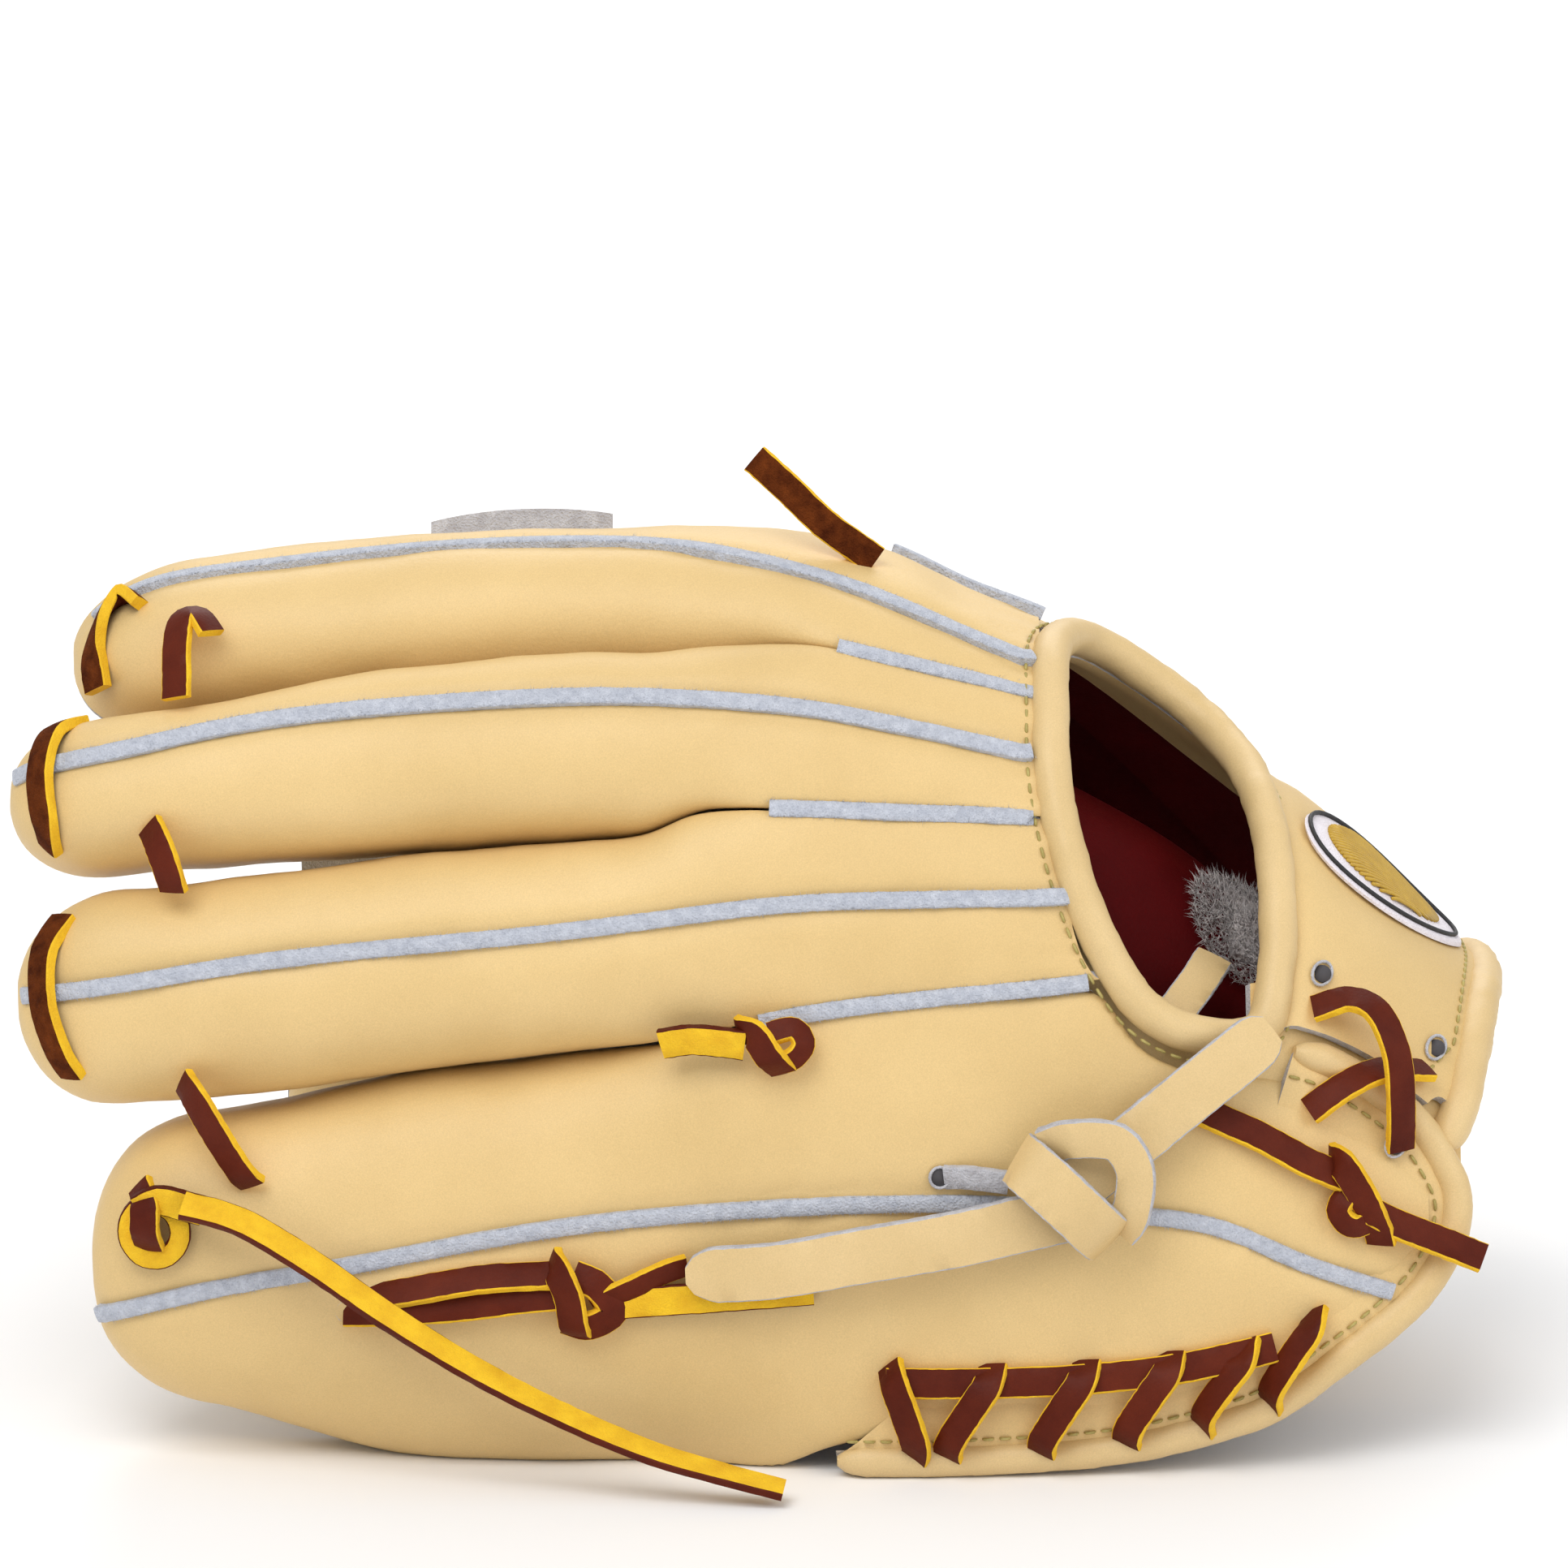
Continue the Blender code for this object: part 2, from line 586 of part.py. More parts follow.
def zigzag(name, corners, t, colour):
    """A flat strip folded at each corner of a zigzag, its corners mitred so that it is one body."""
    flat = [np.array(corner, float) for corner in corners]
    runs = [unit(after - before) for before, after in zip(flat, flat[1:])]
    rings = []
    for i, corner in enumerate(flat):
        before, after = runs[max(i - 1, 0)], runs[min(i, len(runs) - 1)]
        across = unit(np.array([-before[1] - after[1], before[0] + after[0]]))
        reach = LACE_WIDTH / 2 / max(abs(before[0] * across[1] - before[1] * across[0]), 0.4)
        spots = [corner]
        if i < len(runs):
            spots += [corner + part * (flat[i + 1] - corner) for part in (0.4, 0.6)]
        for k, spot in enumerate(spots):
            if k:
                across, reach = np.array([-after[1], after[0]]), LACE_WIDTH / 2
            sides = spot + reach * across, spot - reach * across
            rings.append([arch(*sides[n], t + level * LACE_THICK / 2)
                          for n, level in ((0, 1), (1, 1), (1, -1), (0, -1))])
    loft(name, rings, colour)


def make_heel_lacing():
    """The lace whipped round the heel's rolled edge, seen as a zigzag over the leather."""
    holes = [25, 44, 63, 82, 99, 112]
    edge = [(x, s) for x, s in reversed(HEEL_EDGE[5:])]
    corners = []
    for x, after in zip(holes, holes[1:]):
        corners.append((x, along(edge, x + 4) + 20.5))
        corners.append(((x + after) / 2, along(edge, (x + after) / 2) + 9.5))
    zigzag("heel_whip_lace", corners, PANEL_OUT + GAP + 4.2 + LACE_THICK / 2, LACE)


def make_wrist_laces():
    on = PANEL_OUT + GAP + 0.3 + LACE_THICK / 2
    high = on + 2.6
    strip("cross_lace_under", [(113.5, 70, on), (121, 72.5, on + 2.4), (127, 73.5, on + 4.6),
                               (137, 72, on + 1.5)], 8, LACE)
    strip("cross_lace_over", [(115, 87.5, on + 0.4), (124, 83.5, on + 6.5), (128, 76, on + 11.5),
                              (131, 69, on + 7.5), (131.5, 60.5, on + 0.8)], 10, LACE)
    strip("wrist_lace", [(90, 71.5, on), (101, 65, on), (113, 57.5, high - 1)], 8, LACE)
    knot("wrist_lace_knot", (121.5, 52, on + 3), (7, 7.5, 3.2), LACE)
    strip("wrist_lace_tail", [(130, 47.5, high), (139, 43.5, high + 1), (149.5, 40, high + 4)], 6,
          LACE)


# The pull strap is straight where its knot slides, and held off the leather under it.
PULL_START = (105, 85, 22)
PULL_END = (51, 51, 24.5)
PULL_WIDTH = 11.5
PULL_THICK = 2.6
KNOT_LENGTH = 22
KNOT_ROUND = [(1, 0.4), (0.4, 1), (-0.4, 1), (-1, 0.4), (-1, -0.4), (-0.4, -1), (0.4, -1), (1, -0.4)]
KNOT_HOLE = [(1, 0.9), (0.9, 1), (-0.9, 1), (-1, 0.9), (-1, -0.9), (-0.9, -1), (0.9, -1), (1, -0.9)]


def make_pull_strap():
    start, end = arch(*PULL_START), arch(*PULL_END)
    way = unit(end - start)
    side = unit(np.cross(way, outward(73, 68)))
    face = unit(np.cross(side, way))
    free_strip("pull_strap", [start, (start + end) / 2, end], 5, TAN, face, PULL_WIDTH, PULL_THICK)

    def ring(back, corners, wide, tall):
        spot = end - way * back
        return [spot + side * a * wide + face * b * tall for a, b in corners]

    wide, tall = PULL_WIDTH / 2 + GAP, PULL_THICK / 2 + GAP
    swell = [(KNOT_LENGTH, 2.0), (KNOT_LENGTH - 4, 3.2), (6, 3.2), (2, 2.0)]
    outer = [ring(back, KNOT_ROUND, wide + grow, tall + 0.8 * grow) for back, grow in swell]
    inner = [ring(back, KNOT_HOLE, wide, tall) for back in (2, KNOT_LENGTH)]
    loft("pull_strap_knot", outer + inner, TAN, ring_closed=True)
    strip("pull_strap_tail", [(41, 49.5, 22.3), (25, 47.5, 21.5), (5, 45.5, 20.8), (-15, 44, 20.2)],
          9, TAN, width=PULL_WIDTH, thick=PULL_THICK)

    inside = -6
    strip("inner_finger_loop", [(78, 70, inside), (82, 82, inside + 7), (90, 96, inside + 9),
                                (98, 110, inside + 6), (104, 122, inside)], 8, TAN, width=11,
          thick=2.4)


# The long lace from the little finger's tip, down over the back and out along the floor.
LONG_LACE = [(-118, -80, 59), (-106, -82, 56), (-92, -84, 48), (-76, -86, 37), (-58, -88, 26),
             (-40, -90, 17), (-22, -93, 10), (-7, -95, 6), (5, -96, 3)]
LONG_LACE_RADIUS = 1.6


def make_long_lace():
    data = bpy.data.curves.new("long_lace", "CURVE")
    data.dimensions = "3D"
    data.bevel_depth = LONG_LACE_RADIUS * MM
    data.bevel_resolution = 2
    data.use_fill_caps = True
    points = curve_points(LONG_LACE, 34)
    line = data.splines.new("POLY")
    line.points.add(len(points) - 1)
    for target, point in zip(line.points, points):
        target.co = (*[value * MM for value in point], 1)
    new_object("long_lace", data, YELLOW)


THUMB_PIECES = ("thumb_stall", "thumb_face_leather", "thumb_palm_leather", "thumb_heel_panel",
                "thumb_seam_strip", "thumb_insert", "web_thumb_half", "web_thumb_lace")
KNOT_PIECES = ("pull_strap_knot", "pull_strap_tail")


def empty(name, place, parent=None):
    """An empty at a place in millimetres, whose children keep their own coordinates."""
    made = bpy.data.objects.new(name, None)
    made.location = [value * MM for value in place]
    made.parent = parent
    bpy.context.scene.collection.objects.link(made)
    return made


def hang_pieces():
    """Parents the fixed pieces to the glove, and the moving ones to their joints."""
    pieces = list(bpy.data.objects)
    glove = empty("glove", STAND_SHIFT)
    thumb = empty("thumb_fold", HINGE_START, glove)
    slide = empty("strap_knot_slide", arch(*PULL_END), glove)
    for piece in pieces:
        if piece.name in THUMB_PIECES:
            piece.parent = thumb
            piece.location = -thumb.location
        elif piece.name in KNOT_PIECES:
            piece.parent = slide
            piece.location = -slide.location
        else:
            piece.parent = glove


make_stalls()
make_back_panels()
make_seams()
make_rolled_edges()
make_palm()
make_web()
make_wrist_strap()
make_patch()
make_finger_laces()
make_back_laces()
make_heel_lacing()
make_wrist_laces()
make_pull_strap()
make_long_lace()
hang_pieces()
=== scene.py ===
"""The looks of a camel leather fielder's glove: hide, welts, rolled edges, laces and linings.

A place on the glove is given as on its solids: the station x along the glove, the distance s
over the arch from the front floor edge, and the height t above the arch's middle surface, all
in millimetres. arch() turns such places into metres in the frame.
"""

import math

import bmesh
import bpy
import numpy as np
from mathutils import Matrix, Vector, noise


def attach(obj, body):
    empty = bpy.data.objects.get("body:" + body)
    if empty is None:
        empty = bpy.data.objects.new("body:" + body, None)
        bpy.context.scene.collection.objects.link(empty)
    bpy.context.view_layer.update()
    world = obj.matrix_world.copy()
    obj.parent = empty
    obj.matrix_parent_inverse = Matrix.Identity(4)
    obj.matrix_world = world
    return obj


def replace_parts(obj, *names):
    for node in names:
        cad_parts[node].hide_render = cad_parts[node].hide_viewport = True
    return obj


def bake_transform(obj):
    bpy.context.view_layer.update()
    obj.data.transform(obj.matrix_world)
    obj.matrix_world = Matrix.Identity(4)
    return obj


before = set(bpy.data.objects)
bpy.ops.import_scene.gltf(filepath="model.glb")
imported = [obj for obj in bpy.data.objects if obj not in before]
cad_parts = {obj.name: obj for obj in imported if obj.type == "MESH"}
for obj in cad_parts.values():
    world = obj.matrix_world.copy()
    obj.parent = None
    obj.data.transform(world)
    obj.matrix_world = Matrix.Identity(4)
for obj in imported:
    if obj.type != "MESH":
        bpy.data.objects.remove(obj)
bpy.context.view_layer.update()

# The studio: a pale sweep of floor under large soft lamps, and a long lens a little above
# the glove, which shows its back with the fingers to the left.
MM = 0.001
STAND_SHIFT = np.array([-2.5, 4.3, 0.0])    # from the arch's own origin to the frame's, in mm
VIEW_ELEVATION = math.radians(15)
VIEW_DISTANCE = 2.6
VIEW_WIDTH = 0.3253                         # what the frame spans at the glove
VIEW_CENTRE = Vector((0.00255, -0.0181, 0.1328))
SENSOR = 36.0


def soft_lamp(name, place, size, power):
    lamp = bpy.data.lights.new(name, "AREA")
    lamp.size, lamp.energy = size, power
    holder = bpy.data.objects.new(name, lamp)
    holder.location = place
    holder.rotation_euler = (Vector((0, 0, 0.08)) - Vector(place)).to_track_quat("-Z", "Y").to_euler()
    bpy.context.scene.collection.objects.link(holder)


def plain_material(name, colour, roughness):
    made = bpy.data.materials.new(name)
    made.use_nodes = True
    shader = made.node_tree.nodes["Principled BSDF"]
    shader.inputs["Base Color"].default_value = (*colour, 1)
    shader.inputs["Roughness"].default_value = roughness
    return made


floor_shape = bmesh.new()
bmesh.ops.create_grid(floor_shape, x_segments=2, y_segments=2, size=6)
floor_mesh = bpy.data.meshes.new("studio_floor")
floor_shape.to_mesh(floor_mesh)
floor_shape.free()
floor_mesh.materials.append(plain_material("floor_paper", (0.93, 0.93, 0.935), 0.9))
studio_floor = bpy.data.objects.new("studio_floor", floor_mesh)
studio_floor.location.z = -0.0003
bpy.context.scene.collection.objects.link(studio_floor)

soft_lamp("key_lamp", (-0.5, -1.1, 1.7), 1.3, 21)
soft_lamp("fill_lamp", (1.3, -0.9, 0.9), 1.2, 7)
soft_lamp("back_lamp", (0.1, 1.4, 1.2), 1.2, 12)
sky = bpy.data.worlds.new("studio_sky")
sky.use_nodes = True
sky.node_tree.nodes["Background"].inputs["Color"].default_value = (1, 1, 1, 1)
sky.node_tree.nodes["Background"].inputs["Strength"].default_value = 0.62
bpy.context.scene.world = sky
bpy.context.scene.view_settings.view_transform = "Standard"

lens = bpy.data.cameras.new("studio_camera")
lens.sensor_width = SENSOR
lens.lens = SENSOR * VIEW_DISTANCE / VIEW_WIDTH
camera = bpy.data.objects.new("studio_camera", lens)
towards = Vector((0, math.cos(VIEW_ELEVATION), -math.sin(VIEW_ELEVATION)))
camera.location = VIEW_CENTRE - towards * VIEW_DISTANCE
camera.rotation_euler = towards.to_track_quat("-Z", "Y").to_euler()
bpy.context.scene.collection.objects.link(camera)
bpy.context.scene.camera = camera


# The long lace: one strip of rawhide, brown on its grain side and yellow on its flesh side. It
# leaves the little finger's tip, lies over the finger's back and ends cut off on the floor.
LACE_WIDTH = 6.35
LACE_THICK = 1.8
LONG_LACE = [(-118, -80, 59), (-106, -82, 56), (-92, -84, 48), (-76, -86, 37), (-58, -88, 26),
             (-40, -90, 17), (-22, -93, 10), (-7, -95, 6), (5, -96, 3)]


def node_group(name, inputs, outputs):
    """A shader node group with its sockets; the rest of its nodes are added by the caller."""
    made = bpy.data.node_groups.new(name, "ShaderNodeTree")
    for socket, value in inputs:
        made.interface.new_socket(socket, in_out="INPUT", socket_type="NodeSocketFloat").default_value = value
    for socket in outputs:
        made.interface.new_socket(socket, in_out="OUTPUT", socket_type="NodeSocketFloat")
    return made, made.nodes.new("NodeGroupInput"), made.nodes.new("NodeGroupOutput")


def add_node(tree, kind, **values):
    """A node with its input sockets set; a tuple or an output socket goes where it is named."""
    made = tree.nodes.new(kind)
    for key, value in values.items():
        if hasattr(made, key):
            setattr(made, key, value)
            continue
        numbered = key[0] == "i" and key[1:].isdigit()
        socket = made.inputs[int(key[1:]) if numbered else key.replace("_", " ")]
        if isinstance(value, bpy.types.NodeSocket):
            tree.links.new(value, socket)
        else:
            socket.default_value = value
    return made


def maths(tree, operation, first, second=0.0):
    return add_node(tree, "ShaderNodeMath", operation=operation, i0=first, i1=second).outputs[0]


# What every hide shows: pebbled grain, fine pores and slow changes of tone.
grain_group, given, put = node_group("hide_grain", [("Pebble", 800.0), ("Pores", 3800.0), ("Tone", 22.0)],
                                     ["Height", "Tone", "Speckle"])
spot = add_node(grain_group, "ShaderNodeTexCoord").outputs["Object"]
pebble = add_node(grain_group, "ShaderNodeTexVoronoi", feature="SMOOTH_F1", Vector=spot,
                  Scale=given.outputs["Pebble"], Smoothness=0.6)
pores = add_node(grain_group, "ShaderNodeTexNoise", Vector=spot, Scale=given.outputs["Pores"], Detail=3.0)
tone = add_node(grain_group, "ShaderNodeTexNoise", Vector=spot, Scale=given.outputs["Tone"], Detail=5.0,
                Roughness=0.62)
height = maths(grain_group, "ADD", maths(grain_group, "MULTIPLY", pebble.outputs["Distance"], 0.55),
               maths(grain_group, "MULTIPLY", pores.outputs["Fac"], 0.45))
grain_group.links.new(height, put.inputs["Height"])
grain_group.links.new(tone.outputs["Fac"], put.inputs["Tone"])
grain_group.links.new(pores.outputs["Fac"], put.inputs["Speckle"])


def hide_finish(name, light, dark, rough, bump, depth, pebble=800.0, pores=3800.0, tone=22.0, sheen=0.0,
                spread=(0.3, 0.7), gloss=0.5):
    """A leather or cloth finish: two tones, grain in relief and roughness that follows it."""
    made = plain_material(name, light, rough[0])
    tree = made.node_tree
    shader = tree.nodes["Principled BSDF"]
    shader.inputs["Sheen Weight"].default_value = sheen
    shader.inputs["Specular IOR Level"].default_value = gloss
    grain = tree.nodes.new("ShaderNodeGroup")
    grain.node_tree = grain_group
    for socket, value in (("Pebble", pebble), ("Pores", pores), ("Tone", tone)):
        grain.inputs[socket].default_value = value
    ramp = add_node(tree, "ShaderNodeMapRange", Value=grain.outputs["Tone"], From_Min=spread[0],
                    From_Max=spread[1])
    colour = add_node(tree, "ShaderNodeMix", data_type="RGBA")
    colour.inputs[6].default_value = (*dark, 1)
    colour.inputs[7].default_value = (*light, 1)
    tree.links.new(ramp.outputs["Result"], colour.inputs["Factor"])
    speck = add_node(tree, "ShaderNodeMapRange", Value=grain.outputs["Speckle"], From_Min=0.25, From_Max=0.75,
                     To_Min=0.9, To_Max=1.06)
    shade = add_node(tree, "ShaderNodeHueSaturation", Color=colour.outputs[2], Value=speck.outputs["Result"])
    tree.links.new(shade.outputs["Color"], shader.inputs["Base Color"])
    dull = add_node(tree, "ShaderNodeMapRange", Value=grain.outputs["Height"], To_Min=rough[0],
                    To_Max=rough[1])
    tree.links.new(dull.outputs["Result"], shader.inputs["Roughness"])
    relief = add_node(tree, "ShaderNodeBump", Height=grain.outputs["Height"], Strength=bump, Distance=depth)
    tree.links.new(relief.outputs["Normal"], shader.inputs["Normal"])
    return made


brown_grain = hide_finish("lace_brown_grain", (0.125, 0.018, 0.006), (0.070, 0.008, 0.003), (0.42, 0.58), 0.3,
                          0.0002, pebble=1500.0, tone=60.0, gloss=0.12)
brown_flesh = hide_finish("lace_brown_flesh", (0.170, 0.040, 0.008), (0.055, 0.011, 0.003), (0.85, 0.95), 0.9,
                          0.0006, pebble=2600.0, pores=5200.0, tone=240.0, gloss=0.05)
yellow_flesh = hide_finish("lace_yellow_flesh", (0.90, 0.56, 0.012), (0.74, 0.40, 0.004), (0.75, 0.9), 0.6,
                           0.0004, pebble=2400.0, pores=5200.0, tone=160.0)


def unit(vectors):
    vectors = np.asarray(vectors, float)
    return vectors / np.linalg.norm(vectors, axis=-1, keepdims=True)


def curve_points(route, count, closed=False):
    """Evenly spaced points of a smooth curve through the route's own points."""
    knots = [np.array(point, float) for point in route]
    n = len(knots)
    fine = []
    for i in range(n if closed else n - 1):
        if closed:
            p = [knots[(i + k) % n] for k in (-1, 0, 1, 2)]
        else:
            p = [knots[min(max(i + k, 0), n - 1)] for k in (-1, 0, 1, 2)]
        for q in np.linspace(0, 1, 12, endpoint=False):
            fine.append(0.5 * (2 * p[1] + (p[2] - p[0]) * q + (2 * p[0] - 5 * p[1] + 4 * p[2] - p[3])
                               * q ** 2 + (3 * p[1] - p[0] - 3 * p[2] + p[3]) * q ** 3))
    fine.append(knots[0] if closed else knots[-1])
    fine = np.array(fine)
    run = np.concatenate([[0], np.cumsum(np.linalg.norm(np.diff(fine[:, :3], axis=0), axis=1))])
    wanted = np.linspace(0, run[-1], count + 1 if closed else count)
    spaced = np.stack([np.interp(wanted, run, fine[:, k]) for k in range(fine.shape[1])], axis=1)
    return spaced[:-1] if closed else spaced


def directions(points, closed=False):
    if closed:
        return unit(np.roll(points, -1, axis=0) - np.roll(points, 1, axis=0))
    return unit(np.gradient(points, axis=0))


def new_piece(name, points, faces, finishes, body, stands_for=(), finish_of=None, sharp=50):
    """A mesh from points in metres that rides on its body, or, for the fold, stays unparented with its transform
    baked in.
    """
    data = bpy.data.meshes.new(name)
    data.from_pydata(np.asarray(points).tolist(), [], faces)
    shape = bmesh.new()
    shape.from_mesh(data)
    bmesh.ops.recalc_face_normals(shape, faces=shape.faces[:])
    shape.to_mesh(data)
    shape.free()
    for finish in finishes:
        data.materials.append(finish)
    if finish_of is not None:
        data.polygons.foreach_set("material_index", finish_of)
    data.shade_smooth()
    data.set_sharp_from_angle(angle=math.radians(sharp))
    piece = bpy.data.objects.new(name, data)
    bpy.context.scene.collection.objects.link(piece)
    if body == "fold":
        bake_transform(piece)
    else:
        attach(piece, body)
    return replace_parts(piece, *stands_for) if stands_for else piece


def tube_faces(count, around, closed=False):
    faces = []
    for i in range(count if closed else count - 1):
        for j in range(around):
            after, beside = (i + 1) % count, (j + 1) % around
            faces.append((i * around + j, i * around + beside, after * around + beside, after * around + j))
    if not closed:
        faces += [tuple(range(around)), tuple(range((count - 1) * around, count * around))[::-1]]
    return faces


def lace(name, points, ups, body, stands_for=(), width=LACE_WIDTH, thick=LACE_THICK,
         finishes=None, closed=False, seed=0.0, taper=None):
    """A flat strip through points in metres: its face looks along ups, its cut edges waver."""
    points, ups = np.asarray(points, float), np.asarray(ups, float)
    way = directions(points, closed)
    side = unit(np.cross(way, ups))
    face = np.cross(side, way)
    half, deep = width / 2 * MM, thick / 2 * MM
    corner = 0.28 * MM
    profile = [(-half + corner, deep), (-half / 3, deep * 1.12), (half / 3, deep * 1.12),
               (half - corner, deep), (half, deep - corner), (half, -deep + corner),
               (half - corner, -deep), (half / 3, -deep * 1.05), (-half / 3, -deep * 1.05),
               (-half + corner, -deep), (-half, -deep + corner), (-half, deep - corner)]
    rings = []
    for k, point in enumerate(points):
        size = 1.0 if taper is None else taper(k / (len(points) - 1))
        for a, b in profile:
            spot = point + side[k] * a * size + face[k] * b
            if abs(a) > half * 0.5:
                rough = noise.noise(Vector(spot / (1.3 * MM)) + Vector((seed, 0, 0)))
                spot = spot + side[k] * math.copysign(0.16 * MM, a) * rough
            rings.append(spot)
    around = len(profile)
    faces = tube_faces(len(points), around, closed)
    kinds = [0, 0, 0, 1, 1, 1, 2, 2, 2, 1, 1, 1]
    spans = len(points) if closed else len(points) - 1
    finish_of = [kinds[i % around] for i in range(spans * around)]
    finish_of += [] if closed else [1, 1]
    return new_piece(name, rings, faces, finishes or (brown_grain, yellow_flesh, yellow_flesh), body,
                     stands_for, finish_of, sharp=40)


long_route = (curve_points(LONG_LACE, 70) + STAND_SHIFT) * MM
long_ups = curve_points([(0, -0.62, 0.78), (0, -0.55, 0.83), (0, -0.45, 0.9), (0, -0.22, 0.975)], 70)
long_lace_strip = lace("long_lace_strip", long_route, long_ups, "root", stands_for=("long_lace",),
                       finishes=(yellow_flesh, brown_grain, brown_grain))


# The four fingers' backs: camel steerhide, cut to wrap each finger from its tip over the back of
# the hand to the hand hole, and drawn down along its middle seam. Flesh side inside.
ARCH_POWER = 2.4
ARCH_HEIGHT = [(-156, 148), (-127, 159), (-98, 163), (-63, 166), (-35, 167), (-6, 167), (27, 162),
               (44, 154), (60, 148), (78, 138), (95, 125), (107, 114), (120, 103), (145, 78),
               (156, 69)]
ARCH_HALF_WIDTH = [(-156, 56), (-100, 61), (-40, 64), (40, 64), (100, 60), (156, 50)]
HIDE_THICK = 2.2
CROWN = 14.0                                # the fingers' backs above the arch's middle surface
FACE = -11.5                                # their palm faces below it
DOME = 24.0                                 # length of a rounded fingertip

RING_PINKY = [(-138, 70), (-115, 72), (-73, 80), (-20, 88), (1, 93), (71, 99)]
MIDDLE_RING = [(-153, 118), (-141, 119), (-35, 130), (-24, 130.5), (-14, 134), (4, 134), (60, 130)]
INDEX_MIDDLE = [(-155, 154), (-126, 157), (-73, 167), (6, 167), (18, 164), (58, 154)]
INDEX_FAR = [(-143, 195), (-126, 204), (-73, 216), (-35, 217), (4, 217), (24, 206), (44, 193), (62, 183)]
PINKY_SEAM = [(-138, 30), (-127, 34), (-82, 44), (-40, 52), (-6, 55.5), (70, 54), (95, 49.5), (112, 41.5),
              (131, 34)]
RING_SEAM = [(-153, 95), (-140, 97), (-107, 103), (-40, 110.5), (11, 116), (58, 115)]
MIDDLE_SEAM = [(-155, 137.5), (-142, 140), (-107, 148), (-65, 153), (-23, 154.5), (11, 152), (54, 142)]
INDEX_SEAM = [(-143, 174), (-127, 178.5), (-99, 184.5), (-63, 190), (-23, 190), (11, 180), (54, 162)]
HOLE = [(61, 168), (60, 150), (60.5, 136), (64, 121), (69.5, 107), (77, 95), (85, 89), (95, 86),
        (103.5, 87), (106.5, 97), (107, 108), (106.5, 119), (104.5, 132), (100, 150), (92, 166),
        (80, 178), (68, 181)]
HOLE_ROLL = 4.0


def along(table, x):
    """The smooth curve through a table of (station, value) pairs, read at x."""
    stations = np.array([row[0] for row in table], float)
    values = np.array([row[1] for row in table], float)
    if len(table) > 2:
        slopes = np.gradient(values, stations)
    else:
        slopes = np.full(2, np.diff(values)[0] / np.diff(stations)[0])
    x = np.clip(x, stations[0], stations[-1])
    i = np.clip(np.searchsorted(stations, x) - 1, 0, len(table) - 2)
    step = stations[i + 1] - stations[i]
    q = (x - stations[i]) / step
    rise = 3 * q * q - 2 * q ** 3
    return (values[i] * (1 - rise) + values[i + 1] * rise + (q ** 3 - 2 * q * q + q) * step * slopes[i]
            + (q ** 3 - q * q) * step * slopes[i + 1])


def ease(value, start, end):
    """From 0 at start to 1 at end, level at both."""
    q = np.clip((np.asarray(value, float) - start) / (end - start), 0, 1)
    return q * q * (3 - 2 * q)


FIRST, LAST, SAMPLES = -170, 175, 480
sections = []
for station in range(FIRST, LAST + 1):
    height, half = along(ARCH_HEIGHT, station), along(ARCH_HALF_WIDTH, station)
    angle = np.linspace(0, np.pi, 961)
    y = -half * np.sign(np.cos(angle)) * np.abs(np.cos(angle)) ** (2 / ARCH_POWER)
    z = height * np.abs(np.sin(angle)) ** (2 / ARCH_POWER)
    run = np.concatenate([[0], np.cumsum(np.hypot(np.diff(y), np.diff(z)))])
    even = np.linspace(0, run[-1], SAMPLES + 1)
    y, z = np.interp(even, run, y), np.interp(even, run, z)
    dy, dz = np.gradient(y), np.gradient(z)
    sections.append((y, z, -dz / np.hypot(dy, dz), dy / np.hypot(dy, dz), run[-1]))
ARCH_ROWS = np.array([section[:4] for section in sections])
ARCH_TOTAL = np.array([section[4] for section in sections])


def total(x):
    return np.interp(x, np.arange(FIRST, LAST + 1), ARCH_TOTAL)


def arch_mm(x, s, t):
    x, s, t = np.broadcast_arrays(*(np.asarray(value, float) for value in (x, s, t)))
    i = np.clip(np.floor(x - FIRST).astype(int), 0, len(ARCH_TOTAL) - 2)
    after = x - FIRST - i
    across, up = np.zeros(x.shape), np.zeros(x.shape)
    for k, share in ((i, 1 - after), (i + 1, after)):
        inside = np.clip(s, 0, ARCH_TOTAL[k])
        place = inside / ARCH_TOTAL[k] * SAMPLES
        j = np.minimum(place.astype(int), SAMPLES - 1)
        g = place - j
        y, z, out_y, out_z = (ARCH_ROWS[k, c, j] * (1 - g) + ARCH_ROWS[k, c, j + 1] * g for c in range(4))
        across += share * (y + t * out_y)
        up += share * (z + t * out_z - np.abs(s - inside))
    return np.stack([x, across, np.maximum(up, 0.0)], axis=-1)


def arch(x, s, t=0.0):
    """Places on the glove, in metres in the frame. Nothing goes below the floor."""
    return (arch_mm(x, s, t) + STAND_SHIFT) * MM


def outward(x, s):
    return unit(arch(x, s, 30.0) - arch(x, s, 20.0))


def relief(points, size, depth, seed):
    """Slow unevenness, in millimetres, at each point in metres."""
    flat = np.asarray(points).reshape(-1, 3) / (size * MM) + seed
    return depth * np.array([noise.noise(Vector(p)) for p in flat]).reshape(np.asarray(points).shape[:-1])


